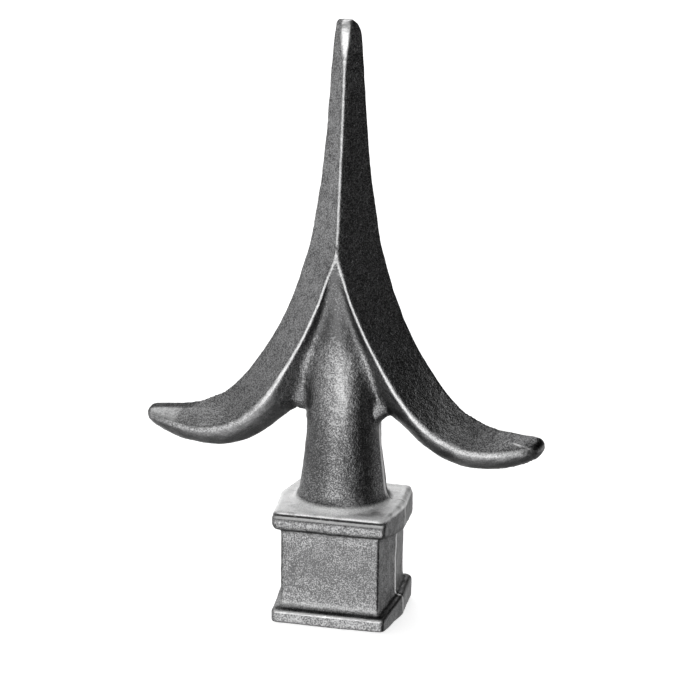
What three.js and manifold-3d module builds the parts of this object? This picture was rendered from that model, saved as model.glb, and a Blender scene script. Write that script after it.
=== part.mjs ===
// Cast fence finial: a four-sided spike whose ridges split and run out into two curved wings,
// on a round shaft and a square socket base with a rolled flange at top and bottom.
// Millimetres, +Z up, X across the wings, front towards -Y, origin at the centre of the underside.
// The mould parted on the plane Y = 0, so every side drafts outward to that plane.

import * as THREE from "three";
import Module from "manifold-3d";

// Overall sizes
const TOTAL_HEIGHT = 152;
const WING_SPAN = 102.8;

// Base: the blind square socket for the picket, the walls round it and the flange at each end
const PICKET_WIDTH = 19.05;
const PICKET_CLEARANCE = 0.75;
const SOCKET_DEPTH = 22;
const WALL_THICKNESS = 2.8;
const SOCKET_WIDTH = PICKET_WIDTH + PICKET_CLEARANCE;
const BODY_WIDTH = SOCKET_WIDTH + 2 * WALL_THICKNESS;
const FLANGE_PROJECTION = 2;
const FLANGE_WIDTH = BODY_WIDTH + 2 * FLANGE_PROJECTION;
const CORNER_RADIUS = 1.6;
const BASE_HEIGHT = 29.4;
const TOP_FLANGE_THICKNESS = 5.3;
const DECK_STEP = 1.4;
const BOTTOM_FLANGE_TOP = 3.6;
const FOOT_EDGE = 0.6;
const ROLL_EDGE = 1.0;
const UNDER_ROLL = 2.1;
const UNDER_ROLL_INSET = 1.6;
const BODY_FILLET = 0.8;
const QUIRK_DEPTH = 0.9;
const QUIRK_HEIGHT = 0.5;

// Draft of the base's sides towards the parting plane, and how the flanges' edges rise or drop
// towards that plane and over the back half of the mould
const BODY_DRAFT = 1.15;
const BOTTOM_FLANGE_DRAFT = 1.3;
const TOP_FLANGE_DRAFT = 1.5;
const DECK_CROWN = 1.0;
const DECK_BACK_RISE = 0.6;
const BOTTOM_FLANGE_CROWN = 1.9;
const BOTTOM_FLANGE_BACK_RISE = 2.5;
const CROWN_FADE = 8.5;
const TOP_FLANGE_SIDE_DROP = 2.2;
const TOP_FLANGE_BACK_DROP = 3.0;
const DROP_FADE = 4.5;

// Shaft: swelling and flared foot above the flange, then a tongue that narrows upward between
// the ridges, nearly flush with them, up to the point where they split
const SHAFT_RADIUS = 9.2;
const SHAFT_SIDE_DRAFT = 0.15;
const SHAFT_SWELL = 1.75;
const SHAFT_SWELL_TOP = 49;
const SHAFT_FOOT_MARGIN = 0.9;
const SHAFT_FOOT_RADIUS = FLANGE_WIDTH / 2 - SHAFT_FOOT_MARGIN;
const SHAFT_FOOT_FLARE = 4.2;
const SHAFT_OVERLAP = 0.3;

// Webs that close the angle between the shaft and the wings; the right one has a small
// gusset against the shaft
const WEB_UNDERSIDE = 52.5;
const WEB_HEIGHT = 8.5;
const WEB_DEPTH = 8.5;
const WEB_OVERLAP = 3.0;
const WEB_HALF_LENGTH = SHAFT_RADIUS + WEB_OVERLAP;
const GUSSET_DROP = 2.2;
const GUSSET_WIDTH = 2.3;

// Blades: the ridge line of the right half runs from the spike tip down to the split and out
// along the wing, whose lowest ridge height is given
const SPLIT_HEIGHT = 93.4;
const WING_LOW_HEIGHT = 46.6;
const RIDGE_DEPTH = 10.35;
const ARRIS_RISE = 8.95;
const BELLY_DROP = 8.4;

// Stations of the spike: height as a share of the way from the split to the tip, then the
// ridge's depth from the parting plane, the arris's rise and the under edge's drop as shares
// of the three sizes above
const SPIKE = [
  { up: 0.985, depth: 0.222, outer: 0.268, under: 0.143 },
  { up: 0.952, depth: 0.266, outer: 0.352, under: 0.143 },
  { up: 0.886, depth: 0.3, outer: 0.402, under: 0.143 },
  { up: 0.785, depth: 0.362, outer: 0.458, under: 0.143 },
  { up: 0.614, depth: 0.459, outer: 0.531, under: 0.143 },
  { up: 0.444, depth: 0.58, outer: 0.62, under: 0.143 },
  { up: 0.271, depth: 0.7, outer: 0.749, under: 0.143 },
  { up: 0.164, depth: 0.778, outer: 0.855, under: 0.143 },
  { up: 0.087, depth: 0.845, outer: 0.927, under: 0.143 },
  { up: 0.027, depth: 0.913, outer: 1, under: 0.167 },
];

// Stations of the wing: distance out as a share of the half span, height as a share of the
// way from the lowest ridge height to the split, and the same three shares
const WING = [
  { out: 0.039, up: 0.91, depth: 1, outer: 0.95, under: 0.357 },
  { out: 0.078, up: 0.778, depth: 0.99, outer: 0.933, under: 0.595 },
  { out: 0.156, up: 0.581, depth: 0.947, outer: 0.883, under: 0.952 },
  { out: 0.233, up: 0.425, depth: 0.918, outer: 0.855, under: 1 },
  { out: 0.311, up: 0.284, depth: 0.87, outer: 0.883, under: 0.976 },
  { out: 0.35, up: 0.224, depth: 0.841, outer: 0.883, under: 0.881 },
  { out: 0.389, up: 0.171, depth: 0.812, outer: 0.872, under: 0.762 },
  { out: 0.467, up: 0.09, depth: 0.744, outer: 0.849, under: 0.738 },
  { out: 0.545, up: 0.038, depth: 0.7, outer: 0.782, under: 0.738 },
  { out: 0.648, up: 0.002, depth: 0.676, outer: 0.732, under: 0.714 },
  { out: 0.759, up: 0, depth: 0.638, outer: 0.536, under: 0.655 },
  { out: 0.837, up: 0.011, depth: 0.589, outer: 0.413, under: 0.589 },
  { out: 0.914, up: 0.026, depth: 0.493, outer: 0.279, under: 0.488 },
  { out: 0.965, up: 0.028, depth: 0.338, outer: 0.235, under: 0.357 },
  { out: 0.99, up: 0.026, depth: 0.164, outer: 0.106, under: 0.179 },
];

// Levels of the tongue: height as a share of the way from the top of the shaft's swelling to
// the split, half width as a share of the shaft's radius, depth as a share of the ridge's
const TONGUE = [
  { up: 0.28, width: 1, depth: 0.889 },
  { up: 0.383, width: 0.96, depth: 0.894 },
  { up: 0.473, width: 0.83, depth: 0.903 },
  { up: 0.585, width: 0.62, depth: 0.918 },
  { up: 0.698, width: 0.42, depth: 0.937 },
  { up: 0.788, width: 0.29, depth: 0.952 },
  { up: 0.878, width: 0.17, depth: 0.966 },
  { up: 0.968, width: 0.07, depth: 0.966 },
];

// Levels of the body whose face is the floor of the shallow grooves beside the tongue, in the
// same shares
const GROOVE_FLOOR = [
  { up: 0.1, width: 0.9, depth: 0.7 },
  { up: 0.3, width: 0.95, depth: 0.72 },
  { up: 0.473, width: 1, depth: 0.74 },
  { up: 0.698, width: 0.9, depth: 0.8 },
  { up: 0.833, width: 0.6, depth: 0.86 },
  { up: 0.923, width: 0.4, depth: 0.9 },
  { up: 0.985, width: 0.15, depth: 0.94 },
];

const station = (x, z, s) => ({
  x,
  z,
  depth: s.depth * RIDGE_DEPTH,
  outer: s.outer * ARRIS_RISE,
  under: s.under * BELLY_DROP,
});
const STATIONS = [
  ...SPIKE.map((s) => station(0, SPLIT_HEIGHT + s.up * (TOTAL_HEIGHT - SPLIT_HEIGHT), s)),
  ...WING.map((s) =>
    station(
      (s.out * WING_SPAN) / 2,
      WING_LOW_HEIGHT + s.up * (SPLIT_HEIGHT - WING_LOW_HEIGHT),
      s,
    ),
  ),
];
const SPLIT_STATION = SPIKE.length - 1;
const SPLINE_STEPS = 3;
const LEAN_RUN = 18;
const RIDGE_FLAT = 0.4;
const WING_FLAT = 0.6;
const WING_FLAT_REACH = 30;
const TIP_FLAT = 1.2;
const TIP_FLAT_HEIGHT = 12;
const TIP_TOP_HALF_DEPTH = 1.0;
const TIP_RIGHT = { top: 1.0, shoulder: 2.3 };
const TIP_LEFT = { top: 2.3, shoulder: 2.95 };
const CREST_ROUNDING_START = 34;
const CREST_ROUNDING = 0.35;
const BELLY_ROUNDNESS = 1.65;
const INNER_FACE_ROUNDNESS = 1.0;
const INNER_FACE_END = 9;
const BELLY_START = 24;
const OUTER_FACE_STEPS = 3;
const BELLY_STEPS = 5;

const SHAFT_SEGMENTS = 36;
const CORNER_STEPS = 4;

const wasm = await Module();
wasm.setup();

// Closed mesh from rings of equal point count; each end is closed with a fan to a point
function loft(rings, firstPoint, lastPoint) {
  const count = rings[0].length;
  const positions = [];
  const triangles = [];
  for (const ring of rings) for (const p of ring) positions.push(p.x, p.y, p.z);
  const first = rings.length * count;
  positions.push(firstPoint.x, firstPoint.y, firstPoint.z);
  positions.push(lastPoint.x, lastPoint.y, lastPoint.z);
  for (let j = 0; j < count; j += 1) {
    const next = (j + 1) % count;
    triangles.push(first, next, j);
    const top = (rings.length - 1) * count;
    triangles.push(first + 1, top + j, top + next);
    for (let i = 0; i + 1 < rings.length; i += 1) {
      const a = i * count + j;
      const b = i * count + next;
      triangles.push(a, b, b + count, a, b + count, a + count);
    }
  }
  const geometry = new THREE.BufferGeometry();
  geometry.setAttribute("position", new THREE.Float32BufferAttribute(positions, 3));
  geometry.setIndex(triangles);
  return geometry;
}

function toSolid(geometry) {
  return new wasm.Manifold(
    new wasm.Mesh({
      numProp: 3,
      vertProperties: new Float32Array(geometry.getAttribute("position").array),
      triVerts: new Uint32Array(geometry.index.array),
    }),
  );
}

function toGeometry(solid) {
  const mesh = solid.getMesh();
  const geometry = new THREE.BufferGeometry();
  geometry.setAttribute(
    "position",
    new THREE.Float32BufferAttribute(new Float32Array(mesh.vertProperties), 3),
  );
  geometry.setIndex(Array.from(mesh.triVerts));
  geometry.computeVertexNormals();
  return geometry;
}

const rise = (t) => {
  const c = Math.min(Math.max(t, 0), 1);
  return c * c * (3 - 2 * c);
};

// Section of the right half at one place on the ridge line, seen along that line: straight
// outer faces up to the arris, a narrow worn flat on each ridge, and below it an inner face that
// is straight beside the tongue and turns into a rounded belly under the wing
function halfSection(place, size, tangent) {
  const normal = new THREE.Vector2(-tangent.y, tangent.x).normalize();
  const tipness = rise((place.y - (TOTAL_HEIGHT - TIP_FLAT_HEIGHT)) / TIP_FLAT_HEIGHT);
  const wingness = rise(place.x / WING_FLAT_REACH);
  const flat =
    RIDGE_FLAT + (TIP_FLAT - RIDGE_FLAT) * tipness + (WING_FLAT - RIDGE_FLAT) * wingness;
  const outward = rise((place.x - CREST_ROUNDING_START) / (WING_SPAN / 2 - CREST_ROUNDING_START));
  const crest = 1 + CREST_ROUNDING * outward;
  const rounding = rise((place.x - INNER_FACE_END) / (BELLY_START - INNER_FACE_END));
  const belly = INNER_FACE_ROUNDNESS + (BELLY_ROUNDNESS - INNER_FACE_ROUNDNESS) * rounding;
  const profile = [];
  for (let k = 0; k <= OUTER_FACE_STEPS; k += 1) {
    const angle = (Math.PI / 2) * (k / OUTER_FACE_STEPS);
    const reach = k === OUTER_FACE_STEPS ? 0 : Math.cos(angle) ** (2 / crest);
    const across = Math.sin(angle) ** (2 / crest);
    profile.push([Math.min(flat, size.y * 0.6) * (1 - reach) + size.y * reach, size.x * across]);
  }
  for (let k = 0; k <= BELLY_STEPS; k += 1) {
    const angle = (Math.PI / 2) * (k / BELLY_STEPS);
    const drop = Math.sin(angle) ** (2 / belly);
    const across = k === BELLY_STEPS ? 0 : Math.cos(angle) ** (2 / belly);
    const start = Math.min(flat, size.z * 0.4);
    profile.push([-(start + (size.z - start) * drop), size.x * across]);
  }
  const back = profile.slice(1, -1).reverse();
  const outline = profile.map(([n, y]) => [n, -y]).concat(back);
  return outline.map(
    ([n, y]) => new THREE.Vector3(place.x + normal.x * n, y, place.y + normal.y * n),
  );
}

// Right half of the spike with its wing; the worn tip is given by its half width at the very
// top and at the shoulder just below
function halfBlade({ top, shoulder }) {
  const path = new THREE.SplineCurve(STATIONS.map((s) => new THREE.Vector2(s.x, s.z)));
  const sizes = new THREE.CatmullRomCurve3(
    STATIONS.map((s, i) => new THREE.Vector3(s.depth, i === 0 ? shoulder : s.outer, s.under)),
    false,
    "catmullrom",
    0.5,
  );
  const steps = (STATIONS.length - 1) * SPLINE_STEPS;
  const split = path.getTangent(SPLIT_STATION / (STATIONS.length - 1));
  const leanAtSplit = Math.atan2(split.x, -split.y);
  const rings = [];
  for (let i = 0; i <= steps; i += 1) {
    const t = i / steps;
    const place = path.getPoint(t);
    const tangent = path.getTangent(t);
    const aboveSplit = place.y - STATIONS[SPLIT_STATION].z;
    if (aboveSplit > -0.01) {
      const lean = leanAtSplit * (1 - rise(aboveSplit / LEAN_RUN));
      place.x = 0;
      tangent.set(Math.sin(lean), -Math.cos(lean));
    }
    rings.push(halfSection(place, sizes.getPoint(t), tangent));
  }
  const first = STATIONS[0];
  const crown = rings[0].map(
    (p) =>
      new THREE.Vector3(
        (p.x * top) / shoulder,
        (p.y * TIP_TOP_HALF_DEPTH) / first.depth,
        TOTAL_HEIGHT,
      ),
  );
  rings.unshift(crown);
  const last = STATIONS[STATIONS.length - 1];
  const tip = new THREE.Vector3(WING_SPAN / 2, 0, last.z - 0.13 * last.under);
  return loft(rings, new THREE.Vector3(0, 0, TOTAL_HEIGHT), tip);
}

function mirrored(geometry) {
  const copy = geometry.clone();
  copy.scale(-1, 1, 1);
  const index = copy.index.array;
  for (let i = 0; i < index.length; i += 3) {
    const keep = index[i];
    index[i] = index[i + 1];
    index[i + 1] = keep;
  }
  return copy;
}

function ellipseRing(z, rx, ry) {
  const points = [];
  for (let j = 0; j < SHAFT_SEGMENTS; j += 1) {
    const angle = (2 * Math.PI * j) / SHAFT_SEGMENTS;
    points.push(new THREE.Vector3(rx * Math.cos(angle), ry * Math.sin(angle), z));
  }
  return points;
}

function tongueRings(levels) {
  return levels.map(({ up, width, depth }) => {
    const z = SHAFT_SWELL_TOP + up * (SPLIT_HEIGHT - SHAFT_SWELL_TOP);
    return ellipseRing(z, width * SHAFT_RADIUS, depth * RIDGE_DEPTH);
  });
}

// Round shaft, flared at its foot, running up into the tongue
function shaft() {
  const foot = BASE_HEIGHT - SHAFT_OVERLAP;
  const rings = [];
  const swellHeight = SHAFT_SWELL_TOP - foot;
  for (const u of [0, 0.03, 0.07, 0.13, 0.21, 0.32, 0.45, 0.6, 0.8, 1]) {
    const z = foot + swellHeight * u;
    const radius = SHAFT_RADIUS + SHAFT_SWELL * (1 - rise(u)) ** 1.1;
    const flare = SHAFT_FOOT_RADIUS - SHAFT_RADIUS - SHAFT_SWELL;
    const spread = flare * Math.max(0, 1 - (z - foot) / SHAFT_FOOT_FLARE) ** 2.4;
    rings.push(ellipseRing(z, radius + spread + SHAFT_SIDE_DRAFT, radius + spread));
  }
  rings.push(...tongueRings(TONGUE));
  const top = new THREE.Vector3(0, 0, SPLIT_HEIGHT);
  return loft(rings, new THREE.Vector3(0, 0, foot), top);
}

function grooveFloor() {
  const rings = tongueRings(GROOVE_FLOOR);
  const end = (ring) => new THREE.Vector3(0, 0, ring[0].z);
  return loft(rings, end(rings[0]), end(rings[rings.length - 1]));
}

// Bar with an oval section, lying across inside the shaft and buried in both wings
function web() {
  const section = ellipseRing(0, WEB_DEPTH / 2, WEB_HEIGHT / 2);
  const axis = WEB_UNDERSIDE + WEB_HEIGHT / 2;
  const places = [
    [-WEB_HALF_LENGTH, 0],
    [-SHAFT_RADIUS / 2, 0],
    [SHAFT_RADIUS / 2, GUSSET_DROP],
    [SHAFT_RADIUS, GUSSET_DROP],
    [SHAFT_RADIUS + GUSSET_WIDTH, 0],
    [WEB_HALF_LENGTH, 0],
  ];
  const rings = places.map(([x, drop]) =>
    section.map((p) => new THREE.Vector3(x, p.x, axis - drop + p.y)),
  );
  const end = (side) => new THREE.Vector3(side * WEB_HALF_LENGTH, 0, axis);
  return loft(rings, end(-1), end(1));
}

// Plan outline of the base at one level: a square with rounded corners, drawn out to the
// parting plane at its two sides; the crown lifts the outline towards that plane and the
// back rise lifts it over the back half of the mould
function planRing({ z, across, deep, draft = BODY_DRAFT, crown = 0, backRise = 0 }) {
  const points = [];
  const corner = (sx, sy, from) => {
    for (let k = 0; k < CORNER_STEPS; k += 1) {
      const angle = from + (Math.PI / 2) * (k / (CORNER_STEPS - 1));
      const x = sx * (across - CORNER_RADIUS) + CORNER_RADIUS * Math.cos(angle);
      const y = sy * (deep - CORNER_RADIUS) + CORNER_RADIUS * Math.sin(angle);
      points.push([x, y]);
    }
  };
  points.push([across + draft, 0]);
  corner(1, 1, 0);
  corner(-1, 1, Math.PI / 2);
  points.push([-across - draft, 0]);
  corner(-1, -1, Math.PI);
  corner(1, -1, Math.PI * 1.5);
  const lift = (y) => crown * (1 - Math.abs(y) / deep) + (backRise * Math.max(y, 0)) / deep;
  return points.map(([x, y]) => new THREE.Vector3(x, y, z + lift(y)));
}

function base() {
  const body = BODY_WIDTH / 2;
  const flange = FLANGE_WIDTH / 2;
  const quirk = flange - QUIRK_DEPTH;
  const low = BOTTOM_FLANGE_TOP;
  const under = BASE_HEIGHT - TOP_FLANGE_THICKNESS;
  const roll = BASE_HEIGHT - DECK_STEP;
  const foot = { draft: BOTTOM_FLANGE_DRAFT };
  const lowTop = { crown: BOTTOM_FLANGE_CROWN, backRise: BOTTOM_FLANGE_BACK_RISE };
  const lowRoll = { ...lowTop, draft: BOTTOM_FLANGE_DRAFT };
  const lowFade = { crown: 0.4 * BOTTOM_FLANGE_CROWN, backRise: 0.4 * BOTTOM_FLANGE_BACK_RISE };
  const underSide = { crown: -TOP_FLANGE_SIDE_DROP, backRise: -TOP_FLANGE_BACK_DROP };
  const deckTop = { crown: DECK_CROWN, backRise: DECK_BACK_RISE, draft: TOP_FLANGE_DRAFT };
  const edge = (z, inset, shape) => ({ z, across: flange - inset, deep: flange - inset, ...shape });
  const wall = (z, fillet, shape) => ({ z, across: body + fillet, deep: body + fillet, ...shape });
  const underRoll = (height, inset, draft) => ({
    ...edge(under + height * UNDER_ROLL, inset * UNDER_ROLL_INSET, underSide),
    draft,
  });
  const levels = [
    edge(0, FOOT_EDGE, {}),
    edge(0.3 * FOOT_EDGE, 0.35 * FOOT_EDGE, foot),
    edge(FOOT_EDGE, 0, foot),
    edge(low - ROLL_EDGE, 0, lowRoll),
    edge(low - 0.3 * ROLL_EDGE, 0.33 * ROLL_EDGE, lowRoll),
    edge(low, ROLL_EDGE, lowTop),
    wall(low + 0.25 * BODY_FILLET, 0.5 * BODY_FILLET, lowTop),
    wall(low + 1.75 * BODY_FILLET, 0.1 * BODY_FILLET, lowTop),
    wall(low + 0.6 * CROWN_FADE, 0, lowFade),
    wall(low + CROWN_FADE, 0, {}),
    wall(under - DROP_FADE, 0, {}),
    wall(under - BODY_FILLET, 0, underSide),
    wall(under, 0.3 * BODY_FILLET, underSide),
    underRoll(0.05, 1, BODY_DRAFT),
    underRoll(0.24, 0.47, BOTTOM_FLANGE_DRAFT),
    underRoll(0.57, 0.15, (BOTTOM_FLANGE_DRAFT + TOP_FLANGE_DRAFT) / 2),
    underRoll(1, 0, TOP_FLANGE_DRAFT),
    edge(roll - ROLL_EDGE, 0, { ...deckTop, crown: 0.5 * DECK_CROWN }),
    { ...edge(roll - 0.3 * ROLL_EDGE, 0.3 * ROLL_EDGE, deckTop), across: flange },
    { ...edge(roll, QUIRK_DEPTH, deckTop), across: flange },
    { ...edge(roll + QUIRK_HEIGHT, 0.1 * ROLL_EDGE, deckTop), deep: quirk },
    edge(BASE_HEIGHT - 0.5 * ROLL_EDGE, 0.4 * ROLL_EDGE, deckTop),
    edge(BASE_HEIGHT, ROLL_EDGE, deckTop),
  ];
  const top = new THREE.Vector3(0, 0, BASE_HEIGHT + DECK_CROWN);
  return loft(levels.map(planRing), new THREE.Vector3(0, 0, 0), top);
}

// Blind square socket, open at the underside
function socket() {
  const ring = (z) =>
    [[-1, -1], [1, -1], [1, 1], [-1, 1]].map(
      ([x, y]) => new THREE.Vector3((x * SOCKET_WIDTH) / 2, (y * SOCKET_WIDTH) / 2, z),
    );
  const top = new THREE.Vector3(0, 0, SOCKET_DEPTH);
  const below = new THREE.Vector3(0, 0, -WALL_THICKNESS);
  return loft([ring(-WALL_THICKNESS), ring(SOCKET_DEPTH)], below, top);
}

const casting = toSolid(halfBlade(TIP_RIGHT))
  .add(toSolid(mirrored(halfBlade(TIP_LEFT))))
  .add(toSolid(shaft()))
  .add(toSolid(grooveFloor()))
  .add(toSolid(web()))
  .add(toSolid(base()))
  .subtract(toSolid(socket()));

const iron = new THREE.MeshStandardMaterial({
  name: "cast_iron",
  color: new THREE.Color(0x6b6b6a),
  roughness: 0.55,
  metalness: 0.7,
});

const finial = new THREE.Mesh(toGeometry(casting), iron);
finial.name = "finial_casting";

const part = new THREE.Group();
part.name = "fence_finial";
part.add(finial);

export default part;
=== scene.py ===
"""Looks of a cast iron fence finial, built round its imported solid.

The casting is lofted again from the part's own sizes at a fine step, fused into one skin, and
given what the mould and use left on it: filleted roots, sand grain, a parting seam and worn
ridges. Sizes are in millimetres until a mesh is handed to Blender, which works in metres.
+Z is up, X runs across the wings and the front of the casting faces -Y.
"""

import logging
import math
from dataclasses import dataclass, field
from enum import Enum

import bpy
import numpy as np
from mathutils import Matrix, Vector
from mathutils.bvhtree import BVHTree
from mathutils.kdtree import KDTree


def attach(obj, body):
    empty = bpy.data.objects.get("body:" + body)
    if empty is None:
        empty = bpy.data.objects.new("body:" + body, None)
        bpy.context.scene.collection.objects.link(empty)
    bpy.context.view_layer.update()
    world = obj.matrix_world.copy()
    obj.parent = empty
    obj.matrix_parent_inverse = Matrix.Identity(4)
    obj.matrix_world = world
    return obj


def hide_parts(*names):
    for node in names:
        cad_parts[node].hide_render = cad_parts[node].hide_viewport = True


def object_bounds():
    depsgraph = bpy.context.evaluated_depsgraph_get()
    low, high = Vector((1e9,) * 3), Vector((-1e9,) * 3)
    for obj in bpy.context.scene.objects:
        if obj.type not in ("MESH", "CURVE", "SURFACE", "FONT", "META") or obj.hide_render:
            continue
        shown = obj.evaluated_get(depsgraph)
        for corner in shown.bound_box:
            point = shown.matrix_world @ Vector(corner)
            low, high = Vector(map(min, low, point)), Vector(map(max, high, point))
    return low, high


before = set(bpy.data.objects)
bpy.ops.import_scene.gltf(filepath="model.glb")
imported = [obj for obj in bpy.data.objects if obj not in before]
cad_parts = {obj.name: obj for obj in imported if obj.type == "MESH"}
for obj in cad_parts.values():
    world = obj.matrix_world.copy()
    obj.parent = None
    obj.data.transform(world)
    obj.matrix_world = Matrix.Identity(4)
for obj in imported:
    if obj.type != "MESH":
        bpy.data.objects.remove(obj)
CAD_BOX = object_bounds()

log = logging.getLogger("finial")

MM = 0.001
SAME_POINT = 1e-6
NO_LENGTH = 1e-12
Ring = np.ndarray
Shares = tuple[tuple[str, float], ...]


class Side(Enum):
    """Half of the casting, as seen from the front."""

    RIGHT = 1
    LEFT = -1


def rise(t: np.ndarray | float) -> np.ndarray | float:
    """Return the smooth step from 0 to 1 as t goes from 0 to 1."""
    c = np.clip(t, 0.0, 1.0)
    return c * c * (3.0 - 2.0 * c)


def band(value: np.ndarray, centre: np.ndarray | float, half: float) -> np.ndarray:
    """Return a soft bump that is 1 at centre and 0 beyond half away from it."""
    return rise(1.0 - np.abs(value - centre) / half)


@dataclass(frozen=True)
class Fade:
    """Soft step along a measure: 0 at start and 1 a run further on.

    A run below 0 turns it round: it is 0 from start upwards and 1 a run below it.
    """

    start: float
    run: float

    def over(self, value: np.ndarray) -> np.ndarray:
        """Return the step at each value of the measure."""
        return rise((value - self.start) / self.run)


@dataclass(frozen=True)
class Strip:
    """Soft strip along a measure: 1 at its centre and 0 beyond half away from it."""

    centre: float
    half: float

    def over(self, value: np.ndarray) -> np.ndarray:
        """Return the strip at each value of the measure."""
        return band(value, self.centre, self.half)


def spline(points: np.ndarray, steps: int) -> np.ndarray:
    """Sample a smooth curve through points.

    Args:
        points: Array of N rows.
        steps: Samples per stretch between two rows.

    Returns:
        Array of (N - 1) * steps + 1 rows.
    """
    padded = np.vstack([2 * points[0] - points[1], points, 2 * points[-1] - points[-2]])
    rows = []
    for i in range(len(points) - 1):
        a, b, c, d = padded[i : i + 4]
        for w in np.arange(steps) / steps:
            v0, v1 = (c - a) / 2, (d - b) / 2
            rows.append(
                (2 * b - 2 * c + v0 + v1) * w**3 + (-3 * b + 3 * c - 2 * v0 - v1) * w**2 + v0 * w + b
            )
    rows.append(points[-1])
    return np.array(rows)


def eased(rows: np.ndarray, passes: int) -> np.ndarray:
    """Take small waves out of a row of points or values.

    Args:
        rows: The row.
        passes: Rounds of smoothing.

    Returns:
        The smoothed row, with both ends kept.
    """
    out = rows.copy()
    for _ in range(passes):
        out[1:-1] = (out[:-2] + 2 * out[1:-1] + out[2:]) / 4
    return out


class Noise:
    """Smooth noise over space that is the same at every run."""

    SHIFT = 37.3
    FINER = 0.5
    WEAKER = 0.55

    def __init__(self, seed: int, cells: int = 48) -> None:
        """Fill the lattice.

        Args:
            seed: Number that the lattice is drawn from.
            cells: Cells along each side, after which the noise repeats.
        """
        self._cells = cells
        self._values = np.random.default_rng(seed).uniform(-1, 1, (cells,) * 3)

    def at(self, points: np.ndarray, size: float) -> np.ndarray:
        """Return one value per point.

        Args:
            points: Array of N rows of x, y, z.
            size: Distance over which the noise changes, in the points' unit.

        Returns:
            Array of N values between -1 and 1.
        """
        scaled = np.asarray(points, float) / size + self.SHIFT
        low = np.floor(scaled).astype(int)
        part = scaled - low
        part = part * part * (3 - 2 * part)
        total = np.zeros(len(scaled))
        for corner in range(8):
            offset = np.array([corner & 1, corner >> 1 & 1, corner >> 2 & 1])
            weight = np.prod(np.where(offset, part, 1 - part), axis=1)
            cell = (low + offset) % self._cells
            total += weight * self._values[cell[:, 0], cell[:, 1], cell[:, 2]]
        return total

    def layered(self, points: np.ndarray, size: float, layers: int) -> np.ndarray:
        """Add up noise of several sizes, each finer and weaker than the last.

        Args:
            points: Array of N rows of x, y, z.
            size: Size of the first layer.
            layers: How many sizes are added up.

        Returns:
            Array of N values.
        """
        total, strength = np.zeros(len(points)), 1.0
        for _ in range(layers):
            total += strength * self.at(points, size)
            size, strength = size * self.FINER, strength * self.WEAKER
        return total


@dataclass(frozen=True)
class Pattern:
    """Noise of one kind: its seed, the size and number of its layers, and its strength."""

    seed: int
    size: float
    layers: int
    strength: float

    def at(self, points: np.ndarray) -> np.ndarray:
        """Return the pattern's value at each point."""
        return self.strength * Noise(self.seed).layered(points, self.size, self.layers)


@dataclass
class Shell:
    """Closed mesh in millimetres: vertices and faces."""

    vertices: np.ndarray
    faces: list[tuple[int, ...]]

    @classmethod
    def lofted(cls, rings: list[Ring], first: np.ndarray, last: np.ndarray) -> "Shell":
        """Join rings of equal point count into a closed body.

        Args:
            rings: Rings in order, each an array of points.
            first: Point that closes the first ring.
            last: Point that closes the last ring.

        Returns:
            The closed shell.
        """
        count, levels = len(rings[0]), len(rings)
        vertices = np.vstack([*rings, first, last])
        a, b = levels * count, levels * count + 1
        faces: list[tuple[int, ...]] = []
        for j in range(count):
            k = (j + 1) % count
            faces.append((a, k, j))
            faces.append((b, (levels - 1) * count + j, (levels - 1) * count + k))
            faces += [
                (i * count + j, i * count + k, (i + 1) * count + k, (i + 1) * count + j)
                for i in range(levels - 1)
            ]
        return cls(vertices, faces)

    def mirrored(self) -> "Shell":
        """Return the shell reflected across X = 0, with its faces still pointing out."""
        return Shell(self.vertices * [-1, 1, 1], [tuple(reversed(f)) for f in self.faces])

    def joined(self, other: "Shell") -> "Shell":
        """Join two shells into one mesh.

        Args:
            other: The shell that is added.

        Returns:
            Both as one; they may overlap.
        """
        shift = len(self.vertices)
        faces = self.faces + [tuple(i + shift for i in f) for f in other.faces]
        return Shell(np.vstack([self.vertices, other.vertices]), faces)

    def mesh(self, name: str) -> bpy.types.Mesh:
        """Hand the shell to Blender.

        Args:
            name: Name of the mesh.

        Returns:
            The mesh, in metres.
        """
        mesh = bpy.data.meshes.new(name)
        mesh.from_pydata((self.vertices * MM).tolist(), [], self.faces)
        mesh.update()
        return mesh


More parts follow.
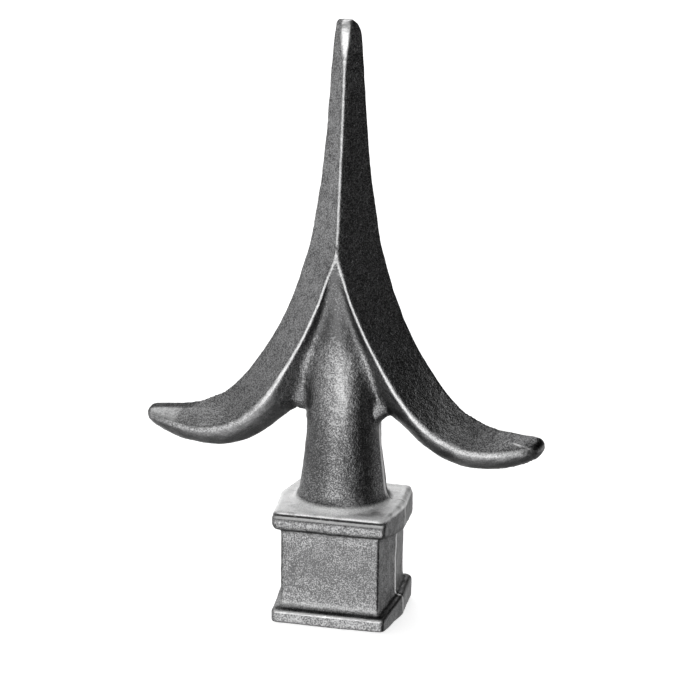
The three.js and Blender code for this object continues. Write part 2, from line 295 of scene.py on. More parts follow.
@dataclass
class Blades:
    """Four-sided spike whose ridges split and run out into two wings.

    A row of spike holds the height as a share of the way from the split to the top, and then
    shares of the ridge depth, the arris rise and the belly drop. A row of wing holds the way
    out and the height first. A worn tip holds how far that side reaches out at its very top
    and at the first row below it.
    """

    total_height: float = 152.0
    wing_span: float = 102.8
    split_height: float = 93.4
    wing_low_height: float = 46.6
    ridge_depth: float = 10.35
    arris_rise: float = 8.95
    belly_drop: float = 8.4
    ridge_flat: float = 0.4
    wing_flat: float = 0.6
    wing_flat_reach: float = 30.0
    tip_flat: float = 1.2
    tip_flat_height: float = 12.0
    worn_near: float = 0.34
    worn_far: float = 0.75
    worn_top: float = 1.25
    tip_top_half_depth: float = 1.0
    lean_run: float = 18.0
    crest_rounding_start: float = 34.0
    crest_rounding: float = 0.35
    belly_roundness: float = 1.42
    inner_face_roundness: float = 1.0
    inner_face_from: float = 9.0
    inner_face_to: float = 24.0
    worn_tip: dict[Side, tuple[float, float]] = field(
        default_factory=lambda: {Side.RIGHT: (1.0, 2.3), Side.LEFT: (2.3, 2.95)}
    )
    steps: int = 14
    swing_steps: int = 22
    arris_steps: int = 12
    line_steps: int = 40
    line_ease: int = 200
    half_ease: int = 40
    lean_ease: int = 30
    outer_flat_limit: float = 0.6
    under_flat_limit: float = 0.4
    end_drop_share: float = 0.13
    worn_out: Fade = Fade(8.0, 16.0)
    worn_top_run: float = 8.0
    spike: tuple[tuple[float, ...], ...] = (
        (0.985, 0.222, 0.268, 0.143),
        (0.952, 0.266, 0.352, 0.143),
        (0.886, 0.3, 0.402, 0.143),
        (0.785, 0.362, 0.458, 0.143),
        (0.614, 0.459, 0.531, 0.143),
        (0.444, 0.58, 0.62, 0.143),
        (0.271, 0.7, 0.749, 0.143),
        (0.164, 0.778, 0.855, 0.143),
        (0.087, 0.845, 0.927, 0.143),
        (0.027, 0.913, 1.0, 0.167),
    )
    wing: tuple[tuple[float, ...], ...] = (
        (0.039, 0.91, 1.0, 0.95, 0.357),
        (0.078, 0.778, 0.99, 0.933, 0.595),
        (0.156, 0.581, 0.947, 0.883, 0.952),
        (0.233, 0.425, 0.918, 0.855, 1.0),
        (0.311, 0.284, 0.87, 0.883, 0.976),
        (0.35, 0.224, 0.841, 0.883, 0.881),
        (0.389, 0.171, 0.812, 0.872, 0.762),
        (0.467, 0.09, 0.744, 0.849, 0.738),
        (0.545, 0.038, 0.7, 0.782, 0.738),
        (0.648, 0.002, 0.676, 0.732, 0.714),
        (0.759, 0.0, 0.638, 0.536, 0.655),
        (0.837, 0.011, 0.589, 0.413, 0.589),
        (0.914, 0.026, 0.493, 0.279, 0.488),
        (0.965, 0.028, 0.338, 0.235, 0.357),
        (0.99, 0.026, 0.164, 0.106, 0.179),
    )

    def stations(self) -> np.ndarray:
        """Return rows of x, z, depth, outer and under along the right ridge line."""
        sizes = np.array([self.ridge_depth, self.arris_rise, self.belly_drop])
        rows = [
            [0.0, self.split_height + up * (self.total_height - self.split_height), *(sizes * rest)]
            for up, *rest in self.spike
        ]
        drop = self.split_height - self.wing_low_height
        rows += [
            [out * self.wing_span / 2, self.wing_low_height + up * drop, *(sizes * rest)]
            for out, up, *rest in self.wing
        ]
        return np.array(rows)

    def ridge_line(self) -> np.ndarray:
        """Return fine rows of x, z, depth, leaning angle along the right ridge."""
        fine = eased(spline(self.stations(), self.line_steps), self.line_ease)
        slope = np.gradient(fine[:, :2], axis=0)
        angle = np.arctan2(slope[:, 0], -slope[:, 1])
        return np.column_stack([fine[:, :3], angle])

    def across_ridge(self, points: np.ndarray) -> tuple[np.ndarray, np.ndarray]:
        """Measure where points lie from the nearest ridge.

        Args:
            points: Array of points of either half, front or back.

        Returns:
            Offset across the ridge line, above 0 outside it, and the nearest place on the
            line as rows of x, z and depth.
        """
        line = self.ridge_line()
        tree = KDTree(len(line))
        for i, (x, z, *_rest) in enumerate(line):
            tree.insert((x, z, 0), i)
        tree.balance()
        found = np.array([tree.find((abs(x), z, 0))[1] for x, _y, z in points])
        row = line[found]
        apart = np.column_stack([np.abs(points[:, 0]), points[:, 2]]) - row[:, :2]
        offset = apart[:, 0] * np.cos(row[:, 3]) + apart[:, 1] * np.sin(row[:, 3])
        return offset, row[:, :3]

    def worn_half_width(self, place: np.ndarray) -> np.ndarray:
        """Work out half the width of the rubbed strip on the ridge.

        Args:
            place: Places on the ridge line, as rows of x, z and depth.

        Returns:
            Half the strip's width at each place.
        """
        x, z = place[:, 0], place[:, 1]
        out = self.worn_far - self.worn_near
        up = self.worn_top - self.worn_near
        tipness = rise((z - self.total_height + self.tip_flat_height) / self.worn_top_run)
        return self.worn_near + out * self.worn_out.over(x) + up * tipness

    def section(self, place: np.ndarray, size: np.ndarray, angle: float) -> Ring:
        """Return the closed section of the right half at one place on its ridge line.

        Args:
            place: x and z of the ridge line.
            size: Ridge depth, rise of the arris and drop of the under edge.
            angle: Lean of the ridge line away from straight down.

        Returns:
            Ring of points round the section.
        """
        depth, outer, under = size
        normal = np.array([math.cos(angle), math.sin(angle)])
        tipness = rise(
            (place[1] - self.total_height + self.tip_flat_height) / self.tip_flat_height
        )
        wingness = rise(place[0] / self.wing_flat_reach)
        flat = (
            self.ridge_flat
            + (self.tip_flat - self.ridge_flat) * tipness
            + (self.wing_flat - self.ridge_flat) * wingness
        )
        reach = self.wing_span / 2 - self.crest_rounding_start
        crest = 1 + self.crest_rounding * rise((place[0] - self.crest_rounding_start) / reach)
        swing = np.linspace(0, np.pi / 2, self.swing_steps)
        top = min(flat, outer * self.outer_flat_limit)
        up = np.cos(swing) ** (2 / crest)
        up[-1] = 0
        outside = np.column_stack([top * (1 - up) + outer * up, depth * np.sin(swing) ** (2 / crest)])
        start = min(flat, under * self.under_flat_limit)
        run = self.inner_face_to - self.inner_face_from
        roundness = self.inner_face_roundness + (
            self.belly_roundness - self.inner_face_roundness
        ) * rise((place[0] - self.inner_face_from) / run)
        down = np.sin(swing) ** (2 / roundness)
        across = np.cos(swing) ** (2 / roundness)
        across[-1] = 0
        belly = np.column_stack([-(start + (under - start) * down), depth * across])
        front = np.vstack([outside, belly])
        back = front[1:-1][::-1]
        outline = np.vstack([front * [1, -1], back])
        return np.column_stack(
            [
                place[0] + normal[0] * outline[:, 0],
                outline[:, 1],
                place[1] + normal[1] * outline[:, 0],
            ]
        )

    def half(self, side: Side) -> Shell:
        """Build one half of the spike with its wing.

        Args:
            side: Which half; its tip is worn as on the real one.

        Returns:
            The half as a closed shell.
        """
        top, shoulder = self.worn_tip[side]
        rows = self.stations()
        rows[0, 3] = shoulder
        fine = spline(rows, self.steps)
        split = (len(self.spike) - 1) * self.steps
        slope = np.gradient(fine[:, :2], axis=0)
        angle = np.arctan2(slope[:, 0], -slope[:, 1])
        above = fine[: split + 1, 1] - fine[split, 1]
        angle[: split + 1] = angle[split] * (1 - rise(above / self.lean_run))
        fine[: split + 1, 0] = 0
        keep = self.steps
        fine[keep:-keep] = eased(fine[keep:-keep], self.half_ease)
        angle = eased(angle, self.lean_ease)
        rings = [self.section(r[:2], r[2:], a) for r, a in zip(fine, angle)]
        crown = rings[0].copy()
        crown[:, 0] *= top / shoulder
        crown[:, 1] *= self.tip_top_half_depth / rows[0, 2]
        crown[:, 2] = self.total_height
        rings.insert(0, crown)
        end = np.array([self.wing_span / 2, 0, rows[-1, 1] - self.end_drop_share * rows[-1, 4]])
        shell = Shell.lofted(rings, np.array([0, 0, self.total_height]), end)
        return shell if side is Side.RIGHT else shell.mirrored()

    def arris(self, half: Shell) -> np.ndarray:
        """Find the arris of one half.

        Args:
            half: The half's shell.

        Returns:
            Close points along the arris, tip to wing tip.
        """
        ring = 4 * self.swing_steps - 2
        line = half.vertices[:-2:ring]
        share = np.linspace(0, 1, self.arris_steps, endpoint=False)[:, None, None]
        return (line[:-1] * (1 - share) + line[1:] * share).reshape(-1, 3)


@dataclass
class Shaft:
    """Round shaft with a flared foot, its tongue between the ridges and the webs beside it.

    A row of tongue or filler holds the height as a share of the way from the swell's top to
    the split, and then shares of the shaft's radius and of the ridge depth.
    """

    radius: float = 9.2
    side_draft: float = 0.15
    swell: float = 1.75
    swell_top: float = 49.0
    foot_radius: float = 13.8
    foot_flare: float = 4.2
    foot_height: float = 29.1
    split_height: float = Blades.split_height
    ridge_depth: float = Blades.ridge_depth
    web_underside: float = 52.5
    web_height: float = 8.5
    web_depth: float = 8.5
    web_half_length: float = 11.4
    gusset_drop: float = 2.2
    gusset_width: float = 2.3
    tongue: tuple[tuple[float, float, float], ...] = (
        (0.28, 1.0, 0.889),
        (0.383, 0.96, 0.894),
        (0.473, 0.83, 0.903),
        (0.585, 0.62, 0.918),
        (0.698, 0.42, 0.937),
        (0.788, 0.29, 0.952),
        (0.878, 0.17, 0.966),
        (0.968, 0.07, 0.966),
    )
    filler: tuple[tuple[float, float, float], ...] = (
        (0.1, 0.9, 0.7),
        (0.3, 0.95, 0.68),
        (0.473, 1.0, 0.66),
        (0.698, 0.9, 0.72),
        (0.833, 0.6, 0.8),
        (0.923, 0.4, 0.86),
        (0.985, 0.15, 0.92),
    )
    tongue_squareness: float = 2.6
    squareness_run: float = 20.0
    foot_steps: int = 60
    foot_crowding: float = 1.6
    swell_power: float = 1.1
    flare_power: float = 2.4
    knot_steps: int = 10
    tongue_ease: int = 12
    filler_ease: int = 8
    filler_cap: float = 0.3
    web_points: int = 48

    @staticmethod
    def oval(z: float, rx: float, ry: float, count: int = 120, power: float = 2.0) -> Ring:
        """Draw a level ring about the shaft's axis.

        Args:
            z: Height of the ring.
            rx: Half width.
            ry: Half depth.
            count: Points round the ring.
            power: 2 for an ellipse, and more for a squarer ring.

        Returns:
            The ring.
        """
        turn = np.linspace(0, 2 * np.pi, count, endpoint=False)
        x, y = np.cos(turn), np.sin(turn)
        stretch = (np.abs(x) ** power + np.abs(y) ** power) ** (-1 / power)
        return np.column_stack([rx * x * stretch, ry * y * stretch, np.full(count, z)])

    def body(self) -> Shell:
        """Return the shaft with its foot and tongue."""
        rise_height = self.swell_top - self.foot_height
        levels = []
        for u in np.linspace(0, 1, self.foot_steps) ** self.foot_crowding:
            z = self.foot_height + rise_height * u
            radius = self.radius + self.swell * (1 - rise(u)) ** self.swell_power
            flare = self.foot_radius - self.radius - self.swell
            left = max(0.0, 1 - (z - self.foot_height) / self.foot_flare)
            radius += flare * left**self.flare_power
            levels.append((z, radius + self.side_draft, radius))
        knots = np.array([levels[-1], *self._heights(self.tongue)])
        levels += [tuple(row) for row in eased(spline(knots, self.knot_steps), self.tongue_ease)[1:]]
        top = np.array([0, 0, self.split_height])
        rings = []
        for z, rx, ry in levels:
            share = rise((z - self.swell_top) / self.squareness_run)
            power = 2 + (self.tongue_squareness - 2) * share
            rings.append(self.oval(z, rx, ry, power=power))
        return Shell.lofted(rings, np.array([0, 0, self.foot_height]), top)

    def _heights(self, table: tuple[tuple[float, float, float], ...]) -> list[tuple]:
        """Turn a table of shares into sizes.

        Args:
            table: Shares of the tongue's height, the shaft's radius and the ridge depth.

        Returns:
            Heights, half widths and half depths.
        """
        run = self.split_height - self.swell_top
        return [
            (self.swell_top + up * run, width * self.radius, depth * self.ridge_depth)
            for up, width, depth in table
        ]

    def groove_floor(self) -> Shell:
        """Return the lower body whose face is the floor of the grooves beside the tongue."""
        knots = np.array(self._heights(self.filler))
        levels = eased(spline(knots, self.knot_steps), self.filler_ease)
        rings = [self.oval(*level) for level in levels]
        bottom = np.array([0, 0, levels[0, 0]])
        return Shell.lofted(rings, bottom, np.array([0, 0, levels[-1, 0] + self.filler_cap]))

    def web(self) -> Shell:
        """Return the bar that closes the angle between the shaft and both wings."""
        section = self.oval(0, self.web_depth / 2, self.web_height / 2, self.web_points)
        axis = self.web_underside + self.web_height / 2
        knots = [
            (-self.web_half_length, 0.0),
            (-self.radius / 2, 0.0),
            (self.radius / 2, self.gusset_drop),
            (self.radius, self.gusset_drop),
            (self.radius + self.gusset_width, 0.0),
            (self.web_half_length, 0.0),
        ]
        rings = [
            np.column_stack(
                [np.full(len(section), x), section[:, 0], axis - drop + section[:, 1]]
            )
            for x, drop in knots
        ]
        ends = [np.array([s * self.web_half_length, 0, axis]) for s in (-1, 1)]
        return Shell.lofted(rings, ends[0], ends[1])


@dataclass(frozen=True)
class Level:
    """One plan outline of the base: its height, half sizes, draft, crown and back rise."""

    z: float
    across: float
    deep: float
    draft: float = 1.15
    crown: float = 0.0
    back_rise: float = 0.0


@dataclass
class SocketBase:
    """Square body with a flange at each end and a blind socket for the picket.

    Curves run upwards, in shares of their own roll or fillet. The low roll's rows hold the way
    down and in, the fillet's the way up and out, and the under roll's the way up and in with
    its draft in millimetres.
    """

    socket_width: float = 19.8
    socket_depth: float = 22.0
    body_width: float = 25.4
    flange_width: float = 29.4
    corner_radius: float = 1.3
    body_corner_radius: float = 0.7
    height: float = 29.4
    top_flange: float = 5.3
    deck_step: float = 1.4
    bottom_flange: float = 3.6
    foot_edge: float = 0.6
    roll_edge: float = 1.0
    under_roll: float = 2.1
    under_roll_inset: float = 1.6
    body_fillet: float = 0.55
    quirk_depth: float = 0.9
    quirk_height: float = 0.5
    bottom_draft: float = 1.3
    top_draft: float = 1.5
    deck_crown: float = 1.0
    deck_back_rise: float = 0.6
    bottom_crown: float = 1.9
    bottom_back_rise: float = 2.5
    crown_fade: float = 8.5
    top_side_drop: float = 2.2
    top_back_drop: float = 3.0
    drop_fade: float = 4.5
    crown_fade_share: float = 0.4
    crown_fade_place: float = 0.6
    under_fillet_share: float = 0.3
    quirk_side_share: float = 0.1
    roll_crown_share: float = 0.5
    body_reach_share: float = 0.6
    foot_round: tuple[float, float] = (0.3, 0.35)
    roll_shoulder: tuple[float, float] = (0.3, 0.25)
    deck_shoulder: tuple[float, float] = (0.5, 0.4)
    low_roll_curve: tuple[tuple[float, float], ...] = (
        (1.0, 0.0),
        (0.62, 0.08),
        (0.3, 0.3),
        (0.08, 0.62),
    )
    fillet_curve: tuple[tuple[float, float], ...] = ((0.25, 0.5), (1.75, 0.1))
    under_roll_curve: tuple[tuple[float, float, float], ...] = (
        (0.05, 1.0, 1.15),
        (0.24, 0.47, 1.3),
        (0.57, 0.15, 1.4),
        (1.0, 0.0, 1.5),
    )

    def levels(self) -> list[Level]:
        """Return the outlines from the foot up to the deck."""
        body, flange = self.body_width / 2, self.flange_width / 2
        low, edge, fillet = self.bottom_flange, self.roll_edge, self.body_fillet
        under, roll = self.height - self.top_flange, self.height - self.deck_step
        low_top = {"crown": self.bottom_crown, "back_rise": self.bottom_back_rise}
        low_roll = {**low_top, "draft": self.bottom_draft}
        fade = {name: self.crown_fade_share * size for name, size in low_top.items()}
        side = {"crown": -self.top_side_drop, "back_rise": -self.top_back_drop}
        deck = {
            "crown": self.deck_crown,
            "back_rise": self.deck_back_rise,
            "draft": self.top_draft,
        }
        foot = {"draft": self.bottom_draft}
        foot_up, foot_in = (share * self.foot_edge for share in self.foot_round)
        roll_down, roll_in = (share * edge for share in self.roll_shoulder)
        deck_down, deck_in = (share * edge for share in self.deck_shoulder)

        def flat(z: float, inset: float, shape: dict) -> Level:
            """Return a level of a flange, drawn in by inset."""
            return Level(z, flange - inset, flange - inset, **shape)

        def wall(z: float, out: float, shape: dict) -> Level:
            """Return a level of the body, drawn out by out."""
            return Level(z, body + out, body + out, **shape)

        return [
            flat(0, self.foot_edge, {}),
            flat(foot_up, foot_in, foot),
            flat(self.foot_edge, 0, foot),
            *[
                flat(low - down * edge, inset * edge, low_roll)
                for down, inset in self.low_roll_curve
            ],
            flat(low, edge, low_top),
            *[wall(low + up * fillet, out * fillet, low_top) for up, out in self.fillet_curve],
            wall(low + self.crown_fade_place * self.crown_fade, 0, fade),
            wall(low + self.crown_fade, 0, {}),
            wall(under - self.drop_fade, 0, {}),
            wall(under - fillet, 0, side),
            wall(under, self.under_fillet_share * fillet, side),
            *[
                flat(
                    under + up * self.under_roll,
                    inset * self.under_roll_inset,
                    {**side, "draft": draft},
                )
                for up, inset, draft in self.under_roll_curve
            ],
            flat(roll - edge, 0, {**deck, "crown": self.roll_crown_share * self.deck_crown}),
            Level(roll - roll_down, flange, flange - roll_in, **deck),
            Level(roll, flange, flange - self.quirk_depth, **deck),
            Level(
                roll + self.quirk_height,
                flange - self.quirk_side_share * edge,
                flange - self.quirk_depth,
                **deck,
            ),
            flat(self.height - deck_down, deck_in, deck),
            flat(self.height, edge, deck),
        ]

    def outline(self, level: Level, corner_steps: int = 9, side_steps: int = 8) -> Ring:
        """Draw one level: a rounded square whose sides are drawn out at the parting plane.

        Args:
            level: The level.
            corner_steps: Points round each corner.
            side_steps: Points along each half of a side.

        Returns:
            The ring, lifted by the level's crown and back rise.
        """
        body_reach = self.body_width / 2 + self.body_reach_share * self.body_fillet
        on_body = level.across < body_reach
        radius = self.body_corner_radius if on_body else self.corner_radius
        points: list[tuple[float, float]] = []

        def corner(sx: int, sy: int, start: float) -> None:
            """Add the corner at the signs of x and y, from the angle start on."""
            for angle in start + np.linspace(0, np.pi / 2, corner_steps):
                points.append(
                    (
                        sx * (level.across - radius) + radius * math.cos(angle),
                        sy * (level.deep - radius) + radius * math.sin(angle),
                    )
                )

        def side(sx: int, towards: int) -> None:
            """Add half of the side at the sign of x, towards a corner (1) or away from it (-1)."""
            reach = level.across + level.draft
            near = level.deep - radius
            for t in np.linspace(0, 1, side_steps, endpoint=False):
                share = t if towards > 0 else 1 - t
                y = near * share * (towards if sx > 0 else -towards)
                x = sx * (reach + (level.across - reach) * share)
                points.append((x, y))

        side(1, 1)
        corner(1, 1, 0)
        corner(-1, 1, math.pi / 2)
        side(-1, -1)
        side(-1, 1)
        corner(-1, -1, math.pi)
        corner(1, -1, math.pi * 1.5)
        side(1, -1)
        ring = np.array(points)
        keep = np.ones(len(ring), bool)
        keep[1:] = np.linalg.norm(np.diff(ring, axis=0), axis=1) > SAME_POINT
        ring = ring[keep]
        lift = level.crown * (1 - np.abs(ring[:, 1]) / level.deep)
        lift += level.back_rise * np.maximum(ring[:, 1], 0) / level.deep
        return np.column_stack([ring, level.z + lift])

    def shell(self) -> Shell:
        """Return the base with its socket open at the underside."""
        rings = [self.outline(level) for level in self.levels()]
        count = len(rings[0])
        half = self.socket_width / 2
        plan = rings[0][:, :2]
        square = plan * (half / np.max(np.abs(plan), axis=1))[:, None]
        mouth = np.column_stack([square, np.zeros(count)])
        seat = np.column_stack([square, np.full(count, self.socket_depth)])
        top = np.array([0, 0, self.height + self.deck_crown])
        inner = np.array([0, 0, self.socket_depth])
        return Shell.lofted([seat, mouth, *rings], inner, top)


@dataclass
class Skin:
    """Fused outer skin of the casting as arrays, ready for relief."""

    RELAX = 0.6
    FAIRING = (0.5, -0.53)
    SQUEEZE = 0.3

    vertices: np.ndarray
    faces: np.ndarray
    edges: np.ndarray

    @classmethod
    def fused(cls, shell: Shell, cell: float) -> "Skin":
        """Fuse overlapping shells into one even skin.

        Args:
            shell: The shells, joined.
            cell: Size of the skin's faces in millimetres.

        Returns:
            The skin.
        """
        rough = bpy.data.objects.new("rough_casting", shell.mesh("rough_casting"))
        bpy.context.scene.collection.objects.link(rough)
        remesh = rough.modifiers.new("fuse", "REMESH")
        remesh.mode = "VOXEL"
        remesh.voxel_size = cell * MM
        remesh.adaptivity = 0
        depsgraph = bpy.context.evaluated_depsgraph_get()
        mesh = bpy.data.meshes.new_from_object(rough.evaluated_get(depsgraph))
        bpy.data.objects.remove(rough)
        vertices = np.empty(len(mesh.vertices) * 3)
        mesh.vertices.foreach_get("co", vertices)
        faces = np.empty(len(mesh.polygons) * 4, int)
        mesh.polygons.foreach_get("vertices", faces)
        edges = np.empty(len(mesh.edges) * 2, int)
        mesh.edges.foreach_get("vertices", edges)
        bpy.data.meshes.remove(mesh)
        return cls(vertices.reshape(-1, 3) / MM, faces.reshape(-1, 4), edges.reshape(-1, 2))

    def normals(self) -> np.ndarray:
        """Return one outward unit normal per vertex."""
        quad = self.vertices[self.faces]
        facing = np.cross(quad[:, 2] - quad[:, 0], quad[:, 3] - quad[:, 1])
        total = np.zeros_like(self.vertices)
        for k in range(4):
            np.add.at(total, self.faces[:, k], facing)
        return total / np.maximum(np.linalg.norm(total, axis=1, keepdims=True), NO_LENGTH)

    def neighbour_mean(self, values: np.ndarray) -> np.ndarray:
        """Take the mean over each vertex's neighbours.

        Args:
            values: One value or one row of values per vertex.

        Returns:
            The means, in the same shape.
        """
        table = values.reshape(len(self.vertices), -1)
        a, b = self.edges.T
        count = np.bincount(a, minlength=len(table)) + np.bincount(b, minlength=len(table))
        total = np.column_stack(
            [
                np.bincount(a, column[b], len(table)) + np.bincount(b, column[a], len(table))
                for column in table.T
            ]
        )
        return (total / count[:, None]).reshape(values.shape)

    def spread(self, values: np.ndarray, passes: int) -> np.ndarray:
        """Spread values over the skin.

        Args:
            values: One value per vertex.
            passes: How often they are mixed with their neighbours.

        Returns:
            The softened values.
        """
        for _ in range(passes):
            values = (values + self.neighbour_mean(values)) / 2
        return values

    def smooth(self, weight: np.ndarray, passes: int) -> None:
        """Relax the skin towards its neighbours.

        Args:
            weight: How far each vertex takes part, from 0 to 1.
            passes: Rounds of smoothing.
        """
        for _ in range(passes):
            step = self.neighbour_mean(self.vertices) - self.vertices
            self.vertices += step * weight[:, None] * self.RELAX

    def fair(self, weight: np.ndarray, passes: int) -> None:
        """Take out the small steps of the fused skin without shrinking it.

        Args:
            weight: How far each vertex takes part, from 0 to 1.
            passes: Rounds of fairing.
        """
        for _ in range(passes):
            for amount in self.FAIRING:
                step = self.neighbour_mean(self.vertices) - self.vertices
                self.vertices += step * weight[:, None] * amount

    def settle(self, shell: Shell, reach: float) -> None:
        """Lay the skin exactly on the faces of the shells it was fused from.

        Args:
            shell: The shells, joined.
            reach: Farthest distance a vertex is moved.
        """
        tree = BVHTree.FromPolygons(shell.vertices.tolist(), shell.faces)
        for i, vertex in enumerate(self.vertices):
            found = tree.find_nearest(vertex, reach)[0]
            if found is not None:
                self.vertices[i] = found

    def sharpen(self, line: np.ndarray, across: float, reach: float) -> None:
        """Draw vertices beside an edge of the parting plane onto that edge.

        Args:
            line: Close points along the edge.
            across: Farthest distance from the parting plane.
            reach: Farthest distance from the edge.
        """
        tree = KDTree(len(line))
        for i, point in enumerate(line):
            tree.insert(point, i)
        tree.balance()
        for i in np.flatnonzero(np.abs(self.vertices[:, 1]) < across):
            found, _index, away = tree.find(self.vertices[i])
            if away < reach:
                self.vertices[i] = (found[0], self.vertices[i, 1] * self.SQUEEZE, found[2])

    def hollowness(self, passes: int) -> np.ndarray:
        """Measure how hollow the skin is.

        Args:
            passes: How often the measure is mixed with its neighbours.

        Returns:
            One value per vertex, above 0 in valleys and below 0 on ridges.
        """
        step = self.neighbour_mean(self.vertices) - self.vertices
        return self.spread(np.einsum("ij,ij->i", step, self.normals()), passes)

    def push(self, amount: np.ndarray) -> None:
        """Move each vertex out along its normal."""
        self.vertices += self.normals() * amount[:, None]

    def keep_within(self, box: tuple) -> None:
        """Keep the skin inside a box, given by its low and high corners in metres."""
        low, high = (np.array(corner) / MM for corner in box)
        self.vertices = np.clip(self.vertices, low, high)


def strongest(places: dict[str, np.ndarray], shares: Shares) -> np.ndarray:
    """Combine places into one mask.

    Args:
        places: One value per vertex for each place, by the place's name.
        shares: The places that count, and how strongly each does.

    Returns:
        The strongest value at each vertex.
    """
    return np.max([share * places[name] for name, share in shares], axis=0)


@dataclass
class Casting:
    """The whole finial: its form and what the mould left on it.

    Passes are rounds of smoothing over the skin. The settle and arris shares are of the cell.
    """

    blades: Blades = field(default_factory=Blades)
    shaft: Shaft = field(default_factory=Shaft)
    base: SocketBase = field(default_factory=SocketBase)
    cell: float = 0.485
    settle_share: float = 0.45
    arris_across_share: float = 0.8
    arris_reach_share: float = 1.1
    hollow_passes: int = 3
    valley: Fade = Fade(0.012, 0.03)
    valley_passes: int = 3
    fillet_passes: int = 14
    crotch_passes: int = 70
    crotch_margin: float = 0.9
    crotch_margin_cut: float = 0.55
    crotch_margin_up: Fade = Fade(62.0, 10.0)
    crotch_run: float = 1.0
    crotch_across: Fade = Fade(22.0, -6.0)
    crotch_above_web: Fade = Fade(1.5, 5.0)
    fair_passes: int = 8
    unfaired_up: Fade = Fade(56.0, 4.0)
    socket_margin: float = 0.3
    lumps: Pattern = Pattern(seed=3, size=4.5, layers=3, strength=0.09)
    pits: Pattern = Pattern(seed=5, size=1.1, layers=2, strength=0.045)
    web_lumps: Pattern = Pattern(seed=7, size=2.2, layers=3, strength=0.22)
    web_half_height: float = 4.5
    web_across: Strip = Strip(11.5, 5.0)
    web_deep: Fade = Fade(9.0, -4.0)
    seam_height: float = 0.2
    seam_half_width: float = 0.5
    seam_mean: float = 0.75
    seam_limits: tuple[float, float] = (0.1, 1.6)
    seam_run: Pattern = Pattern(seed=11, size=3.2, layers=3, strength=0.8)
    seam_stray: Pattern = Pattern(seed=13, size=9.0, layers=1, strength=0.18)
    seam_faint: float = 0.25
    seam_foot: float = 0.4
    low_seam_up: Fade = Fade(0.0, -4.0)
    low_seam_across: Fade = Fade(17.0, -2.0)
    tip_seam_share: float = 0.38
    tip_seam_run: float = 4.0

    def form(self) -> Skin:
        """Return the fused skin with filleted valleys and exact spike arrises."""
        halves = [self.blades.half(side) for side in Side]
        shell = halves[0].joined(halves[1])
        for piece in (self.shaft.body(), self.shaft.groove_floor(), self.shaft.web()):
            shell = shell.joined(piece)
        shell = shell.joined(self.base.shell())
        skin = Skin.fused(shell, self.cell)
        hollow = skin.hollowness(self.hollow_passes)
        skin.settle(shell, self.settle_share * self.cell)
        across, reach = self.arris_across_share * self.cell, self.arris_reach_share * self.cell
        for half in halves:
            skin.sharpen(self.blades.arris(half), across, reach)
        outside = ~self.inside_socket(skin.vertices)
        valley = self.valley.over(hollow) * outside
        skin.smooth(skin.spread(valley, self.valley_passes), self.fillet_passes)
        skin.smooth(self.between_ridges(skin.vertices), self.crotch_passes)
        low = 1 - self.unfaired_up.over(skin.vertices[:, 2])
        skin.fair(outside * low, self.fair_passes)
        return skin

    def between_ridges(self, points: np.ndarray) -> np.ndarray:
        """Find the part between the ridges, which the crotch smoothing works on.

        Args:
            points: Points on the skin.

        Returns:
            1 where the tongue runs into the wings' inner faces, and 0 elsewhere.
        """
        x, _y, z = points.T
        offset, _place = self.blades.across_ridge(points)
        margin = self.crotch_margin - self.crotch_margin_cut * self.crotch_margin_up.over(z)
        inside = rise((-offset - margin) / self.crotch_run) * self.crotch_across.over(np.abs(x))
        return inside * self.crotch_above_web.over(z - self.shaft.web_underside)

    def inside_socket(self, points: np.ndarray) -> np.ndarray:
        """Return which points lie on the socket's own walls and seat."""
        near = np.max(np.abs(points[:, :2]), axis=1) < self.base.socket_width / 2 + self.socket_margin
        return near & (points[:, 2] < self.base.socket_depth + self.socket_margin)

    def relief(self, skin: Skin) -> None:
        """Add the sand-cast lumps and pits, the rough webs and the parting seam.

        Args:
            skin: The skin, which is changed.
        """
        points = skin.vertices
        x, y, z = points.T
        on_web = band(z, self.shaft.web_underside, self.web_half_height)
        on_web *= self.web_across.over(np.abs(x)) * self.web_deep.over(np.abs(y))
        along = points * [1, 0, 1]
        seam = band(y, self.seam_wander(points), self.seam_half_width)
        seam *= self.seam_height * np.clip(self.seam_mean + self.seam_run.at(along), *self.seam_limits)
        tips = rise((np.abs(x) - self.tip_seam_share * self.blades.wing_span) / self.tip_seam_run)
        seam *= np.maximum(np.maximum(self.low_seam(points), tips), self.seam_faint)
        seam[self.inside_socket(points) | (z < self.seam_foot)] = 0
        skin.push(self.lumps.at(points) + self.pits.at(points) + self.web_lumps.at(points) * on_web + seam)

    def seam_wander(self, points: np.ndarray) -> np.ndarray:
        """Return how far the parting seam strays from the plane Y = 0."""
        return self.seam_stray.at(points * [1, 0, 1])

    def low_seam(self, points: np.ndarray) -> np.ndarray:
        """Return 1 where the seam stands clear, from the webs down to the foot."""
        below = self.low_seam_up.over(points[:, 2] - self.shaft.web_underside)
        return below * self.low_seam_across.over(np.abs(points[:, 0]))

    def build(self) -> bpy.types.Object:
        """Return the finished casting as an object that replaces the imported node."""
        skin = self.form()
        self.relief(skin)
        skin.keep_within(CAD_BOX)
        mesh = bpy.data.meshes.new("finial_skin")
        mesh.from_pydata((skin.vertices * MM).tolist(), [], skin.faces.tolist())
        for name, values in Marks(self).masks(skin).items():
            layer = mesh.attributes.new(name, "FLOAT", "POINT")
            layer.data.foreach_set("value", values.astype(np.float32))
        mesh.polygons.foreach_set("use_smooth", [True] * len(mesh.polygons))
        mesh.update()
        casting = bpy.data.objects.new("finial_skin", mesh)
        bpy.context.scene.collection.objects.link(casting)
        log.info("casting skin: %d faces", len(mesh.polygons))
        return casting


